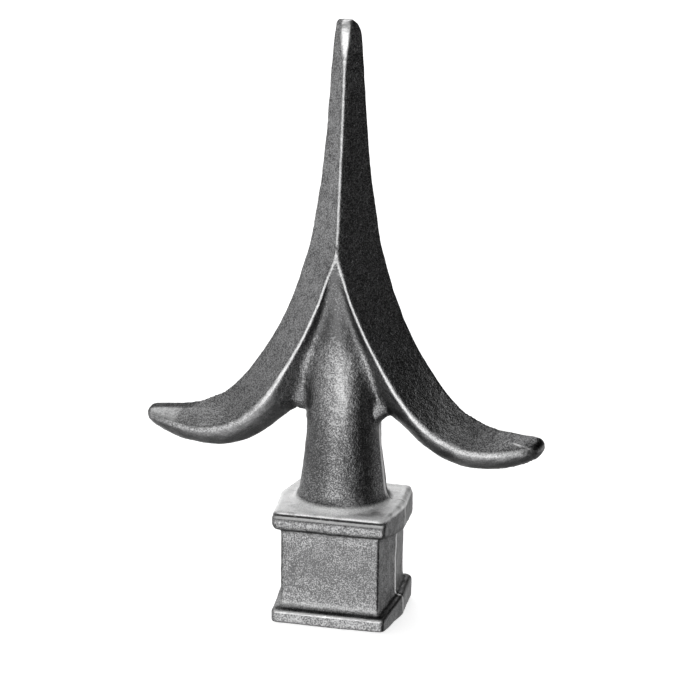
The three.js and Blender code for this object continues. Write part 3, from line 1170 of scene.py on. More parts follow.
@dataclass
class Marks:
    """Masks for the finish: where the casting is worn, rubbed, dark or calm, and where light and shade are
    painted.

    Places are soft areas in millimetres. The four tables say how strongly each place shows in
    a mask. The offset is the distance across the nearest ridge line, above 0 on the outer face.
    """

    casting: Casting
    far_off: float = 9.0
    hollow_passes: int = 2
    wide_hollow_passes: int = 6
    hollow: Fade = Fade(0.003, 0.015)
    ridge_depth_reach: float = 2.5
    shine: float = 0.42
    tip_shine: float = 0.45
    tip_shine_up: Fade = Fade(142.0, 5.0)
    wing_dulling: float = 0.2
    wing_dulling_out: Fade = Fade(18.0, 10.0)
    left_dulling: float = 0.12
    left_dulling_out: Fade = Fade(14.0, 8.0)
    scratch_line: tuple[tuple[float, float], ...] = (
        (39.55, 50.82),
        (43.89, 49.3),
        (47.67, 48.78),
        (49.17, 47.67),
    )
    scratch_end_run: float = 0.8
    scratch_mean: float = 0.55
    scratch_breaks: Pattern = Pattern(seed=19, size=1.3, layers=1, strength=2.2)
    scratch_outside: Fade = Fade(0.3, 0.4)
    scratch_front: Fade = Fade(0.0, 0.5)
    palm_front_share: float = 0.72
    palm_front_run: float = 2.0
    palm_across: Strip = Strip(1.8, 2.5)
    palm_up: Strip = Strip(61.0, 11.0)
    belly_out: Fade = Fade(11.0, 6.0)
    belly_inside: Fade = Fade(0.2, 0.8)
    inner_face: Fade = Fade(0.4, 0.8)
    tongue_across: Fade = Fade(16.0, -5.0)
    tongue_up: Fade = Fade(68.0, 8.0)
    shaft_across: Fade = Fade(12.5, -1.5)
    shaft_up: Strip = Strip(42.0, 14.0)
    flank_middle: float = 1.6
    flank_off_middle: Fade = Fade(2.0, 2.5)
    flank_up: Strip = Strip(48.0, 22.0)
    flank_share: float = 0.2
    shaft_share: float = 0.48
    dark_side_from: Fade = Fade(4.5, 3.0)
    dark_side_to: Fade = Fade(9.5, -2.0)
    front_face: Fade = Fade(12.2, 0.4)
    front_face_up: Strip = Strip(14.0, 13.0)
    webs_over_underside: Strip = Strip(2.0, 6.0)
    webs_across: Strip = Strip(11.0, 3.5)
    lee_across: Fade = Fade(0.0, 2.0)
    lee_outside: Fade = Fade(0.3, 0.5)
    lee_up: Fade = Fade(51.0, 7.0)
    lee_out: Fade = Fade(26.0, -10.0)
    cove_front: Fade = Fade(11.9, 0.4)
    cove_up: Strip = Strip(4.9, 1.1)
    facet_up: Fade = Fade(143.0, 3.0)
    deck_from: Fade = Fade(-0.75, 0.35)
    deck_to: Fade = Fade(1.9, -0.9)
    deck_least: float = 0.82
    deck_edge: Fade = Fade(10.5, 2.0)
    deck_front: Fade = Fade(-4.0, 6.0)
    deck_mean: float = 1.04
    deck_limits: tuple[float, float] = (0.6, 1.0)
    deck_stretch: tuple[float, float, float] = (1.0, 2.2, 1.0)
    deck_streaks: Pattern = Pattern(seed=17, size=3.0, layers=3, strength=0.5)
    foot_inset: float = 1.9
    head_inset: float = 2.0
    base_front_run: float = 0.9
    base_front_side: float = 0.5
    base_front_side_run: float = 0.6
    dimple_place: tuple[float, float] = (49.9, 48.7)
    dimple_size: tuple[float, float] = (1.5, 1.1)
    dimple_edge: float = 0.5
    dimple_share: float = 0.85
    rim_deep: Fade = Fade(2.3, -1.0)
    rim_out: Fade = Fade(36.0, 4.0)
    rim_outside: Fade = Fade(-0.3, 0.6)
    rim_end: Fade = Fade(49.4, 1.2)
    rim_share: float = 0.75
    tip_face_out: Fade = Fade(40.5, 3.0)
    tip_face_front: Fade = Fade(1.5, 0.9)
    tip_face_outside: Fade = Fade(0.2, 0.5)
    tip_face_share: float = 0.26
    pale_out: Strip = Strip(36.0, 9.0)
    pale_share: float = 0.05
    seam_narrowing: float = 0.8
    seam_narrowing_up: Fade = Fade(30.0, 2.0)
    seam_fading: float = 0.35
    seam_fading_up: Fade = Fade(29.0, 2.0)
    seam_side: Fade = Fade(4.0, 2.0)
    # Painted shade on the right outer faces (lee), the tongue and the shaft's dark flank, with the dark
    # spots on the wing tips.
    grime: Shares = (("tip_dark_spots", 1.0), ("lee", 0.48), ("tongue", 0.18), ("dark_side", 0.3))
    # Painted light on the deck and the cove, polish with a painted highlight on the shaft's front, and the
    # rubbed left tip.
    rubbed: Shares = (("deck", 1.0), ("tip_rubbed", 1.0), ("palm_polish_and_highlight", 0.2), ("cove_light", 0.2))
    shade: Shares = (
        ("tongue", 0.6),
        ("column", 1.0),
        ("front_face", 0.42),
        ("webs", 0.46),
        ("lee", 0.12),
    )
    stirred: Shares = (("round_shaft", 0.7), ("lee", 1.3), ("facet", 1.2))
    calm_tongue_share: float = 0.5

    def masks(self, skin: Skin) -> dict[str, np.ndarray]:
        """Work out every mask that the finish reads.

        Args:
            skin: The finished skin.

        Returns:
            One value per vertex for each mask, by the mask's name.
        """
        points = skin.vertices
        offset, place = self.casting.blades.across_ridge(points)
        places = {
            **self.shaft_places(points, offset),
            **self.base_places(points),
            **self.tip_places(points, offset),
        }
        calm = np.maximum(places["belly"], self.calm_tongue_share * places["tongue"])
        for name, share in self.stirred:
            calm = calm - share * places[name]
        hollow = skin.spread(skin.hollowness(self.hollow_passes), self.wide_hollow_passes)
        return {
            "hollow": self.hollow.over(hollow),
            "grime": strongest(places, self.grime),
            "rubbed": strongest(places, self.rubbed),
            "shade": strongest(places, self.shade),
            "calm": calm,
            "base_front": places["base_front"],
            **self.ridge(points, offset, place),
            **self.scratch(points, offset),
            **self.seam(points),
        }

    def ridge(
        self, points: np.ndarray, offset: np.ndarray, place: np.ndarray
    ) -> dict[str, np.ndarray]:
        """Measure the worn strip on the ridges, which also carries painted highlight.

        Args:
            points: The skin's vertices.
            offset: Their offset across the nearest ridge line.
            place: The nearest places on that line, as rows of x, z and depth.

        Returns:
            The offset as a share of the strip's half width, and how brightly it shines.
        """
        x, y, _z = points.T
        share = offset / self.casting.blades.worn_half_width(place)
        on_ridge = np.abs(np.abs(y) - place[:, 2]) < self.ridge_depth_reach
        # The painted highlight is stronger near the top and weaker far out on the wings and on the left.
        shine = self.shine + self.tip_shine * self.tip_shine_up.over(place[:, 1])
        shine -= self.wing_dulling * self.wing_dulling_out.over(np.abs(x))
        shine -= self.left_dulling * self.left_dulling_out.over(-x)
        share = np.where(on_ridge, self.clipped(share), self.far_off)
        return {"ridge_offset": share, "ridge_shine": shine}

    def clipped(self, values: np.ndarray) -> np.ndarray:
        """Return distances with the far ones cut to far_off."""
        return np.clip(values, -self.far_off, self.far_off)

    def scratch(self, points: np.ndarray, offset: np.ndarray) -> dict[str, np.ndarray]:
        """Measure the scratch on the right wing's outer face.

        Args:
            points: The skin's vertices.
            offset: Their offset across the nearest ridge line.

        Returns:
            How far the points lie above the scratch, and where it runs.
        """
        x, y, z = points.T
        along, level = np.array(self.scratch_line).T
        run = rise((x - along[0]) / self.scratch_end_run)
        run *= rise((along[-1] - x) / self.scratch_end_run)
        run *= rise(self.scratch_mean + self.scratch_breaks.at(points * [1, 0, 0]))
        run *= self.scratch_outside.over(offset) * self.scratch_front.over(-y)
        above = self.clipped(z - np.interp(x, along, level))
        return {"scratch_offset": above, "scratch_share": run}

    def seam(self, points: np.ndarray) -> dict[str, np.ndarray]:
        """Measure the parting seam.

        Args:
            points: The skin's vertices.

        Returns:
            How far the points lie behind the seam, and where its painted shade and highlight show; the
            right side only.
        """
        x, y, z = points.T
        behind = self.clipped(y - self.casting.seam_wander(points))
        share = self.casting.low_seam(points) * self.seam_side.over(x)
        share *= 1 - self.seam_fading * self.seam_fading_up.over(z)
        return {
            "seam_offset": behind / (1 + self.seam_narrowing * self.seam_narrowing_up.over(z)),
            "seam_share": share,
        }

    def shaft_places(self, points: np.ndarray, offset: np.ndarray) -> dict[str, np.ndarray]:
        """Find the places on the shaft, the webs, the spike and the wings' long faces.

        Args:
            points: The skin's vertices.
            offset: Their offset across the nearest ridge line.

        Returns:
            The places by name.
        """
        x, y, z = points.T
        aside = np.abs(x)
        shaft = self.casting.shaft
        inner = self.inner_face.over(-offset)
        # The palm band is polish with a painted highlight, where the shaft's front faces the light.
        palm_polish_and_highlight = rise((-y - self.palm_front_share * shaft.radius) / self.palm_front_run)
        round_shaft = self.shaft_up.over(z) * self.shaft_across.over(aside)
        flank = self.flank_off_middle.over(np.abs(x - self.flank_middle)) * inner
        flank *= self.shaft_across.over(aside) * self.flank_up.over(z)
        # The lee is the right outer faces, turned from the light and darkened as painted shade.
        lee = self.lee_across.over(x) * self.lee_outside.over(offset)
        webs = self.webs_over_underside.over(z - shaft.web_underside)
        return {
            "palm_polish_and_highlight": palm_polish_and_highlight * self.palm_across.over(x) * self.palm_up.over(z),
            "belly": self.belly_out.over(aside) * self.belly_inside.over(-offset),
            "tongue": self.tongue_up.over(z) * inner * self.tongue_across.over(aside),
            "round_shaft": round_shaft,
            "column": self.shaft_share * round_shaft + self.flank_share * flank,
            # The dark side is painted shade on the shaft's right flank.
            "dark_side": round_shaft * self.dark_side_from.over(x) * self.dark_side_to.over(x),
            "webs": webs * self.webs_across.over(aside),
            "lee": lee * self.lee_up.over(z) * self.lee_out.over(x),
            "facet": self.facet_up.over(z),
        }

    def base_places(self, points: np.ndarray) -> dict[str, np.ndarray]:
        """Find the places on the base that take painted light and shade: its deck, its front face and the
        cove at its foot.

        Args:
            points: The skin's vertices.

        Returns:
            The places by name.
        """
        x, y, z = points.T
        base = self.casting.base
        half = base.flange_width / 2
        over_deck = z - base.height
        # The deck is lightened as painted light, in streaks.
        deck = self.deck_from.over(over_deck) * self.deck_to.over(over_deck)
        edge = self.deck_edge.over(np.maximum(np.abs(x), np.abs(y))) * self.deck_front.over(-y)
        deck *= self.deck_least + (1 - self.deck_least) * edge
        streaks = self.deck_mean + self.deck_streaks.at(points * self.deck_stretch)
        inset = np.where(z < base.height / 2, self.foot_inset, self.head_inset)
        front = rise((-y - half + inset + self.base_front_run) / self.base_front_run)
        front *= rise((half - self.base_front_side - np.abs(x)) / self.base_front_side_run)
        return {
            "deck": deck * np.clip(streaks, *self.deck_limits),
            "base_front": front,
            "front_face": self.front_face.over(-y) * self.front_face_up.over(z),
            "cove_light": self.cove_front.over(-y) * self.cove_up.over(z),
        }

    def tip_places(self, points: np.ndarray, offset: np.ndarray) -> dict[str, np.ndarray]:
        """Find the dark spots on both wing tips and the left tip's rubbed face.

        Args:
            points: The skin's vertices.
            offset: Their offset across the nearest ridge line.

        Returns:
            The places by name.
        """
        x, y, z = points.T
        across, up = x - self.dimple_place[0], z - self.dimple_place[1]
        wide, high = self.dimple_size
        dimple = rise((1 - np.hypot(across / wide, up / high)) / self.dimple_edge)
        rim = self.rim_deep.over(np.abs(y)) * self.rim_out.over(-x) * self.rim_outside.over(offset)
        rim = np.maximum(rim, self.rim_end.over(-x))
        front = self.tip_face_front.over(-y) * self.tip_face_outside.over(offset)
        rubbed = self.tip_face_share * self.tip_face_out.over(-x) * (1 - rim)
        return {
            "tip_dark_spots": np.maximum(self.dimple_share * dimple, self.rim_share * rim),
            "tip_rubbed": front * (rubbed + self.pale_share * self.pale_out.over(-x)),
        }


class Graph:
    """Short way to place and link shader nodes in one tree.

    The Mix node has its colours at fixed numbers, because its sockets share their names.
    """

    MIX_FACTOR = 0
    MIX_FIRST = 6
    MIX_SECOND = 7
    MIX_RESULT = 2

    def __init__(self, tree: bpy.types.NodeTree) -> None:
        """Hold the tree."""
        self.tree = tree

    def add(self, kind: str, settings: dict | None = None, **inputs: object) -> bpy.types.Node:
        """Place a node.

        Args:
            kind: Blender's name of the node type.
            settings: Properties of the node itself.
            **inputs: Socket values or linked sockets, by socket name with _ for space.

        Returns:
            The node.
        """
        node = self.tree.nodes.new(kind)
        for name, value in (settings or {}).items():
            setattr(node, name, value)
        for name, value in inputs.items():
            self.put(node, name.replace("_", " "), value)
        return node

    def put(self, node: bpy.types.Node, socket: str | int, value: object) -> None:
        """Link or set one input.

        Args:
            node: The node.
            socket: Name or number of the input.
            value: A socket to link, or a plain value.
        """
        target = node.inputs[int(socket)] if str(socket).isdigit() else node.inputs[socket]
        if isinstance(value, bpy.types.NodeSocket):
            self.tree.links.new(value, target)
        else:
            target.default_value = value

    def maths(self, operation: str, *values: object) -> bpy.types.NodeSocket:
        """Place a Math node.

        Args:
            operation: Blender's name of the operation.
            *values: Its inputs in order, linked or plain.

        Returns:
            The node's output.
        """
        node = self.add("ShaderNodeMath", {"operation": operation})
        for i, value in enumerate(values):
            self.put(node, i, value)
        return node.outputs[0]

    def ramp(self, value: object, low: float, high: float, out_low: float = 0.0,
             out_high: float = 1.0) -> bpy.types.NodeSocket:
        """Map a value smoothly from one range to another.

        Args:
            value: The value, linked or plain.
            low: Level that gives out_low.
            high: Level that gives out_high.
            out_low: Result at low.
            out_high: Result at high.

        Returns:
            The mapped value.
        """
        node = self.add("ShaderNodeMapRange", {"interpolation_type": "SMOOTHSTEP"})
        for name, item in (("Value", value), ("From Min", low), ("From Max", high),
                           ("To Min", out_low), ("To Max", out_high)):
            self.put(node, name, item)
        return node.outputs[0]

    def blend(self, factor: object, first: object, second: object) -> bpy.types.NodeSocket:
        """Blend two colours.

        Args:
            factor: 0 for the first colour and 1 for the second.
            first: The first colour, linked or plain.
            second: The second colour, linked or plain.

        Returns:
            The blended colour.
        """
        node = self.add("ShaderNodeMix", {"data_type": "RGBA"})
        self.put(node, self.MIX_FACTOR, factor)
        self.put(node, self.MIX_FIRST, first)
        self.put(node, self.MIX_SECOND, second)
        return node.outputs[self.MIX_RESULT]

    def most(self, values: list[bpy.types.NodeSocket]) -> bpy.types.NodeSocket:
        """Place the Math nodes that pick the largest value.

        Args:
            values: The values, all linked.

        Returns:
            The largest of them.
        """
        largest = values[0]
        for value in values[1:]:
            largest = self.maths("MAXIMUM", largest, value)
        return largest


def new_group(name: str, takes: dict[str, str], gives: dict[str, str]) -> tuple[
    Graph, bpy.types.Node, bpy.types.Node
]:
    """Start a shader node group.

    Args:
        name: Name of the group.
        takes: Input names and their socket types.
        gives: Output names and their socket types.

    Returns:
        The group's graph, its input node and its output node.
    """
    tree = bpy.data.node_groups.new(name, "ShaderNodeTree")
    for label, kind in takes.items():
        tree.interface.new_socket(name=label, in_out="INPUT", socket_type=kind)
    for label, kind in gives.items():
        tree.interface.new_socket(name=label, in_out="OUTPUT", socket_type=kind)
    graph = Graph(tree)
    return graph, graph.add("NodeGroupInput"), graph.add("NodeGroupOutput")


@dataclass(frozen=True)
class SandGrain:
    """Fine sand grain with its mottle and specks, as a shader node group.

    Scales are shares of the grain's own. Levels are those of the noise between which an output
    runs through its range.
    """

    fine_height: float = 0.6
    coarse_scale: float = 0.38
    coarse_height: float = 0.8
    speck_scale: float = 1.4
    speck_levels: tuple[float, float] = (0.66, 0.76)
    mottle_scale: float = 0.12
    tone_levels: tuple[float, float] = (0.3, 0.7)
    mottle_range: tuple[float, float] = (0.3, 0.7)
    speckle_range: tuple[float, float] = (-0.6, 0.6)

    def group(self) -> bpy.types.NodeTree:
        """Return the group that makes the grain."""
        graph, takes, gives = new_group(
            "sand_grain",
            {"Place": "NodeSocketVector", "Size": "NodeSocketFloat"},
            {name: "NodeSocketFloat" for name in ("Height", "Specks", "Mottle", "Speckle")},
        )
        place, size = takes.outputs["Place"], takes.outputs["Size"]
        fine = graph.add("ShaderNodeTexNoise", Vector=place, Scale=size, Detail=1.0, Roughness=0.6)
        coarse_size = graph.maths("MULTIPLY", size, self.coarse_scale)
        coarse = graph.add(
            "ShaderNodeTexNoise", Vector=place, Scale=coarse_size, Detail=2.0, Roughness=0.5
        )
        height = graph.maths(
            "ADD",
            graph.maths("MULTIPLY", fine.outputs[0], self.fine_height),
            graph.maths("MULTIPLY", coarse.outputs[0], self.coarse_height),
        )
        speck_size = graph.maths("MULTIPLY", size, self.speck_scale)
        speck = graph.add("ShaderNodeTexNoise", Vector=place, Scale=speck_size, Detail=1.0)
        mottle_size = graph.maths("MULTIPLY", size, self.mottle_scale)
        mottle = graph.add(
            "ShaderNodeTexNoise", Vector=place, Scale=mottle_size, Detail=4.0, Roughness=0.65
        )
        mottled = graph.ramp(mottle.outputs[0], *self.tone_levels, *self.mottle_range)
        speckled = graph.ramp(fine.outputs[0], *self.tone_levels, *self.speckle_range)
        graph.put(gives, "Height", height)
        graph.put(gives, "Specks", graph.ramp(speck.outputs[0], *self.speck_levels))
        graph.put(gives, "Mottle", mottled)
        graph.put(gives, "Speckle", speckled)
        return graph.tree


def crease_group(core: float = 0.35) -> bpy.types.NodeTree:
    """Make the group that draws a thin soft line where a value passes a level.

    Args:
        core: Share of the line's half width that is fully drawn.

    Returns:
        The group.
    """
    graph, takes, gives = new_group(
        "crease",
        {"Value": "NodeSocketFloat", "Level": "NodeSocketFloat", "Half Width": "NodeSocketFloat"},
        {"Line": "NodeSocketFloat"},
    )
    away = graph.maths(
        "ABSOLUTE", graph.maths("SUBTRACT", takes.outputs["Value"], takes.outputs["Level"])
    )
    share = graph.maths("DIVIDE", away, takes.outputs["Half Width"])
    graph.put(gives, "Line", graph.ramp(share, 1.0, core))
    return graph.tree


def worn_edge_group(bare: float = 0.15, bright: float = 0.75) -> bpy.types.NodeTree:
    """Make the group that breaks a worn-edge mask up as handling does.

    Args:
        bare: Level of the broken mask where wear begins.
        bright: Level where it is complete.

    Returns:
        The group.
    """
    graph, takes, gives = new_group(
        "worn_edge",
        {"Mask": "NodeSocketFloat", "Place": "NodeSocketVector", "Break Up": "NodeSocketFloat"},
        {"Wear": "NodeSocketFloat"},
    )
    noise = graph.add(
        "ShaderNodeTexNoise", Vector=takes.outputs["Place"], Scale=0.9, Detail=4.0, Roughness=0.7
    )
    shift = graph.maths(
        "MULTIPLY", graph.maths("SUBTRACT", noise.outputs[0], 0.5), takes.outputs["Break Up"]
    )
    broken = graph.maths("ADD", takes.outputs["Mask"], shift)
    graph.put(gives, "Wear", graph.ramp(broken, bare, bright))
    return graph.tree


@dataclass(frozen=True)
class Line:
    """Soft line on the casting: the level it lies at, half its width and its strength."""

    level: float
    half: float
    share: float

    def draw(self, graph: Graph, crease: bpy.types.NodeTree, value: bpy.types.NodeSocket,
             weight: bpy.types.NodeSocket) -> bpy.types.NodeSocket:
        """Draw the line in a material.

        Args:
            graph: The material's graph.
            crease: The crease group.
            value: The measure in millimetres whose level is drawn.
            weight: Where the line shows.

        Returns:
            The line as a mask.
        """
        node = graph.add("ShaderNodeGroup", {"node_tree": crease})
        graph.put(node, "Value", value)
        graph.put(node, "Level", self.level)
        graph.put(node, "Half Width", self.half)
        return graph.maths("MULTIPLY", graph.maths("MULTIPLY", node.outputs[0], self.share), weight)


@dataclass(frozen=True)
class CastIron:
    """Bare sand-cast iron, handled until its ridges shine, with painted light and shade on some faces and
    lines.
    """

    skin: tuple[float, float, float, float] = (0.27, 0.27, 0.272, 1.0)
    dark: tuple[float, float, float, float] = (0.08, 0.08, 0.081, 1.0)
    bright: tuple[float, float, float, float] = (0.62, 0.62, 0.62, 1.0)
    polished: tuple[float, float, float, float] = (0.93, 0.93, 0.93, 1.0)
    edge_tint: tuple[float, float, float, float] = (0.35, 0.35, 0.35, 1.0)
    soot: tuple[float, float, float, float] = (0.02, 0.02, 0.02, 1.0)
    roughness: float = 0.37
    worn_roughness: float = 0.34
    rubbed_roughness: float = 0.6
    rubbed_film: float = 0.62
    grain: float = 2.9
    grain_height: float = 0.00017
    calm_share: float = 0.6
    hollow_share: float = 0.2
    speck_share: float = 0.45
    uneven_speckle: float = 0.5
    uneven_least: float = 0.84
    wear_outside: float = 1.4
    wear_core: float = 0.35
    wear_break_up: float = 0.45
    smooth_wear: float = 0.6
    smooth_grain: float = 0.3
    # Painted shade: dark lines in the flange's quirk groove, in the crease above the foot flange and
    # beside the parting seam.
    groove: Line = Line(28.4, 0.48, 1.0)
    foot_crease: Line = Line(3.75, 0.26, 0.75)
    seam_shadow: Line = Line(0.55, 0.42, 0.9)
    # Painted highlights: bright lines on the flange's bead, the foot flange's edge and the seam's crest;
    # the scratch is a real mark.
    bead: Line = Line(27.85, 0.42, 0.62)
    foot_edge: Line = Line(3.05, 0.45, 0.6)
    seam_crest: Line = Line(-0.05, 0.62, 0.72)
    scratch: Line = Line(0.0, 0.22, 0.5)

    def material(self) -> bpy.types.Material:
        """Return the material."""
        material = bpy.data.materials.new("cast_iron_bare")
        material.use_nodes = True
        graph = Graph(material.node_tree)
        shader = material.node_tree.nodes["Principled BSDF"]
        place = graph.add("ShaderNodeTexCoord").outputs["Object"]
        in_mm = graph.add("ShaderNodeVectorMath", {"operation": "SCALE"})
        graph.put(in_mm, "Vector", place)
        graph.put(in_mm, "Scale", 1 / MM)
        where = in_mm.outputs[0]
        grain = graph.add("ShaderNodeGroup", {"node_tree": SandGrain().group()})
        graph.put(grain, "Place", where)
        graph.put(grain, "Size", self.grain)
        calm = graph.maths("MULTIPLY", self.mask(graph, "calm"), self.calm_share)
        stir = graph.maths("SUBTRACT", 1.0, calm)
        height = graph.add("ShaderNodeSeparateXYZ", Vector=where).outputs["Z"]
        line_shade, highlight_and_scratch = self.lines(graph, height)
        wear = self.wear(graph, where)
        speckle = graph.maths("MULTIPLY", grain.outputs["Speckle"], stir)
        share = graph.maths("ADD", grain.outputs["Mottle"], speckle)
        share = graph.maths("SUBTRACT", share, self.mask(graph, "shade"))
        tone = graph.blend(share, self.dark, self.skin)
        # Painted shade: the hollows are darkened.
        hollow = graph.maths("MULTIPLY", self.mask(graph, "hollow"), self.hollow_share)
        tone = graph.blend(hollow, tone, self.dark)
        uneven = graph.ramp(
            speckle, -self.uneven_speckle, self.uneven_speckle, self.uneven_least, 1.0
        )
        # The worn ridges, with their painted highlight, go towards the bright tone.
        tone = graph.blend(graph.maths("MULTIPLY", wear, uneven), tone, self.bright)
        # Painted light on the deck, the cove and the shaft's front, mixed with rubbing, and the painted
        # highlight lines go towards the polished tone.
        rubbed = graph.maths("MULTIPLY", self.mask(graph, "rubbed"), uneven)
        tone = graph.blend(graph.maths("MAXIMUM", rubbed, highlight_and_scratch), tone, self.polished)
        # Painted shade in the creases, beside the seam, on the right outer faces, the tongue and the
        # shaft's dark flank, and the dark tip spots, go towards near black.
        tone = graph.blend(graph.maths("MAXIMUM", self.mask(graph, "grime"), line_shade), tone, self.soot)
        specks = graph.maths("MULTIPLY", grain.outputs["Specks"], self.speck_share)
        tone = graph.blend(specks, tone, self.bright)
        graph.put(shader, "Base Color", tone)
        film = graph.maths("MULTIPLY", rubbed, self.rubbed_film)
        graph.put(shader, "Metallic", graph.maths("SUBTRACT", 1.0, film))
        shader.inputs["Specular Tint"].default_value = self.edge_tint
        rough = graph.ramp(wear, 0.0, 1.0, self.roughness, self.worn_roughness)
        dull = graph.maths("MULTIPLY", rubbed, self.rubbed_roughness - self.roughness)
        graph.put(shader, "Roughness", graph.maths("ADD", rough, dull))
        bump = graph.add("ShaderNodeBump", Distance=self.grain_height)
        worn_grain = graph.ramp(wear, 0.0, self.smooth_wear, 1.0, self.smooth_grain)
        graph.put(bump, "Strength", graph.maths("MULTIPLY", stir, worn_grain))
        graph.put(bump, "Height", grain.outputs["Height"])
        graph.put(shader, "Normal", bump.outputs[0])
        return material

    @staticmethod
    def mask(graph: Graph, name: str) -> bpy.types.NodeSocket:
        """Return one of the skin's masks."""
        return graph.add("ShaderNodeAttribute", {"attribute_name": name}).outputs["Fac"]

    def wear(self, graph: Graph, where: bpy.types.NodeSocket) -> bpy.types.NodeSocket:
        """Work out the wear of the ridges and the highlight painted on them.

        Args:
            graph: The material's graph.
            where: Place on the casting in millimetres.

        Returns:
            How far the ridges are worn bright and lit by painted highlight.
        """
        away = graph.maths("ABSOLUTE", self.mask(graph, "ridge_offset"))
        edge = graph.add("ShaderNodeGroup", {"node_tree": worn_edge_group()})
        graph.put(edge, "Mask", graph.ramp(away, self.wear_outside, self.wear_core))
        graph.put(edge, "Place", where)
        graph.put(edge, "Break Up", self.wear_break_up)
        return graph.maths("MULTIPLY", edge.outputs["Wear"], self.mask(graph, "ridge_shine"))

    def lines(self, graph: Graph, height: bpy.types.NodeSocket) -> tuple[
        bpy.types.NodeSocket, bpy.types.NodeSocket
    ]:
        """Draw the painted shade in the base's creases and beside the parting seam, the painted highlights
        on their edges, and the scratch.

        Args:
            graph: The material's graph.
            height: Height above the foot in millimetres.

        Returns:
            The painted shade in the creases, and the painted highlight on the edges beside them with the
            scratch.
        """
        crease = crease_group()
        front = self.mask(graph, "base_front")
        across, seam = self.mask(graph, "seam_offset"), self.mask(graph, "seam_share")
        over, scratched = self.mask(graph, "scratch_offset"), self.mask(graph, "scratch_share")
        shaded_lines = (
            (self.groove, height, front),
            (self.foot_crease, height, front),
            (self.seam_shadow, across, seam),
        )
        highlight_and_scratch_lines = (
            (self.bead, height, front),
            (self.foot_edge, height, front),
            (self.seam_crest, across, seam),
            (self.scratch, over, scratched),
        )
        line_shade = graph.most([line.draw(graph, crease, *place) for line, *place in shaded_lines])
        highlight_and_scratch = graph.most([line.draw(graph, crease, *place) for line, *place in highlight_and_scratch_lines])
        return line_shade, highlight_and_scratch


@dataclass(frozen=True)
class SoftLobe:
    """Soft patch of studio light: where it comes from, how wide it is and how strong."""

    azimuth: float
    elevation: float
    strength: float
    reach: float = 38.0

    def direction(self) -> tuple[float, float, float]:
        """Return the unit vector towards the patch; azimuth 0 is the front, 90 is +X."""
        a, e = math.radians(self.azimuth), math.radians(self.elevation)
        return (math.sin(a) * math.cos(e), -math.cos(a) * math.cos(e), math.sin(e))


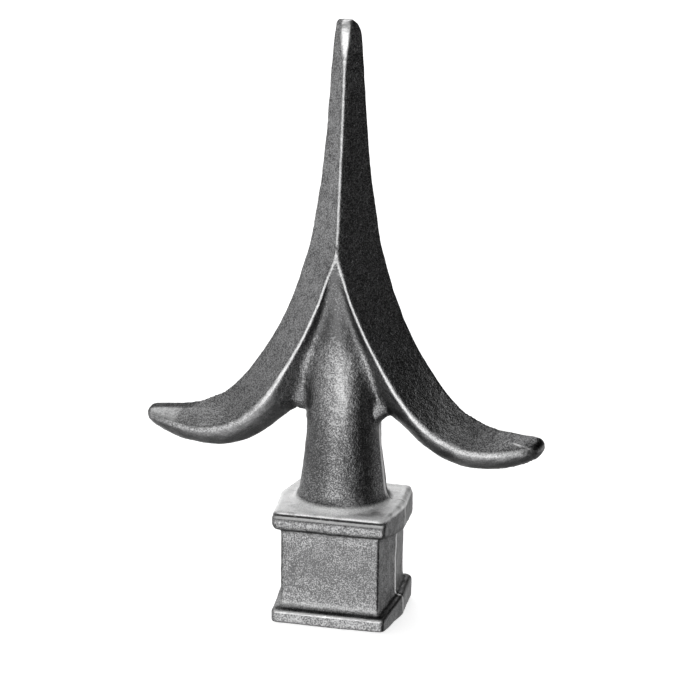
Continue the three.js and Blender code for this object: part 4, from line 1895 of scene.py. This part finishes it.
@dataclass
class Studio:
    """Plain pale floor, soft light and the camera."""

    lobes: tuple[SoftLobe, ...] = (
        SoftLobe(-165, -15, 1.14),
        SoftLobe(-135, -15, 2.48),
        SoftLobe(-105, -15, 0.41),
        SoftLobe(-75, -15, 1.11),
        SoftLobe(-15, -15, 2.87),
        SoftLobe(15, -15, 0.67),
        SoftLobe(105, -15, 0.04),
        SoftLobe(135, -15, 0.76),
        SoftLobe(165, -15, 0.9),
        SoftLobe(-150, 30, 2.4),
        SoftLobe(-90, 30, 0.67),
        SoftLobe(-30, 30, 0.42),
        SoftLobe(30, 30, 1.21),
        SoftLobe(-120, 65, 0.87),
        SoftLobe(0, 65, 0.38),
        SoftLobe(0, -60, 2.4),
        SoftLobe(180, -60, 0.28),
        SoftLobe(-125, -52, 0.6, 30.0),
    )
    floor_size: float = 8.0
    floor_tone: float = 0.8
    floor_glow: float = 0.7
    floor_roughness: float = 0.9
    floor_drop: float = 0.00005
    azimuth: float = 14.73
    elevation: float = 16.53
    roll: float = -0.67
    distance: float = 1.0
    focal_pixels: float = 4025.0
    frame_pixels: float = 700.0
    sensor_width: float = 36.0
    clip: tuple[float, float] = (0.05, 50.0)
    target: tuple[float, float] = (0.00128, 0.0684)

    def light(self) -> None:
        """Make the soft light from all round."""
        world = bpy.data.worlds.new("studio")
        bpy.context.scene.world = world
        world.use_nodes = True
        graph = Graph(world.node_tree)
        way = graph.add("ShaderNodeTexCoord").outputs["Generated"]
        total: object = 0.0
        for lobe in self.lobes:
            dot = graph.add("ShaderNodeVectorMath", {"operation": "DOT_PRODUCT"})
            graph.put(dot, 0, way)
            graph.put(dot, 1, lobe.direction())
            soft = graph.ramp(
                dot.outputs["Value"],
                math.cos(math.radians(lobe.reach)),
                1.0,
                0.0,
                lobe.strength,
            )
            total = graph.maths("ADD", soft, total)
        seen = graph.add("ShaderNodeLightPath").outputs["Is Camera Ray"]
        unseen = graph.maths("MULTIPLY", total, graph.maths("SUBTRACT", 1.0, seen))
        background = world.node_tree.nodes["Background"]
        graph.put(background, "Strength", graph.maths("ADD", unseen, seen))
        background.inputs["Color"].default_value = (1, 1, 1, 1)

    def floor(self) -> bpy.types.Object:
        """Return the pale floor."""
        half = self.floor_size / 2
        corners = [(-half, -half, 0), (half, -half, 0), (half, half, 0), (-half, half, 0)]
        mesh = bpy.data.meshes.new("floor")
        mesh.from_pydata(corners, [], [(0, 1, 2, 3)])
        floor = bpy.data.objects.new("floor", mesh)
        floor.location.z = -self.floor_drop
        floor.visible_glossy = False
        bpy.context.scene.collection.objects.link(floor)
        material = bpy.data.materials.new("floor_white")
        material.use_nodes = True
        shader = material.node_tree.nodes["Principled BSDF"]
        shader.inputs["Base Color"].default_value = (self.floor_tone,) * 3 + (1.0,)
        shader.inputs["Roughness"].default_value = self.floor_roughness
        shader.inputs["Specular IOR Level"].default_value = 0.0
        shader.inputs["Emission Color"].default_value = (1.0, 1.0, 1.0, 1.0)
        shader.inputs["Emission Strength"].default_value = self.floor_glow
        mesh.materials.append(material)
        return floor

    def camera(self) -> bpy.types.Object:
        """Return the camera at the photograph's place."""
        a, e, r = (math.radians(v) for v in (self.azimuth, self.elevation, self.roll))
        back = Vector((math.sin(a) * math.cos(e), -math.cos(a) * math.cos(e), math.sin(e)))
        right = Vector((math.cos(a), math.sin(a), 0))
        up = back.cross(right)
        across = right * math.cos(r) - up * math.sin(r)
        upward = right * math.sin(r) + up * math.cos(r)
        place = right * self.target[0] + Vector((0, 0, self.target[1])) + back * self.distance
        data = bpy.data.cameras.new("camera")
        data.sensor_fit = "HORIZONTAL"
        data.sensor_width = self.sensor_width
        data.lens = self.focal_pixels / self.frame_pixels * data.sensor_width
        data.clip_start, data.clip_end = self.clip
        camera = bpy.data.objects.new("camera", data)
        bpy.context.scene.collection.objects.link(camera)
        rows = [[across[i], upward[i], back[i], place[i]] for i in range(3)]
        camera.matrix_world = Matrix([*rows, [0, 0, 0, 1]])
        bpy.context.scene.camera = camera
        bpy.context.scene.view_settings.view_transform = "Standard"
        return camera


def main() -> None:
    """Build the casting, its finish and the studio."""
    logging.basicConfig(level=logging.INFO, format="%(name)s: %(message)s")
    casting = Casting().build()
    casting.data.materials.append(CastIron().material())
    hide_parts("finial_casting")
    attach(casting, "root")
    studio = Studio()
    studio.light()
    studio.floor()
    studio.camera()
    log.info("studio ready")


if __name__ == "__main__":
    main()
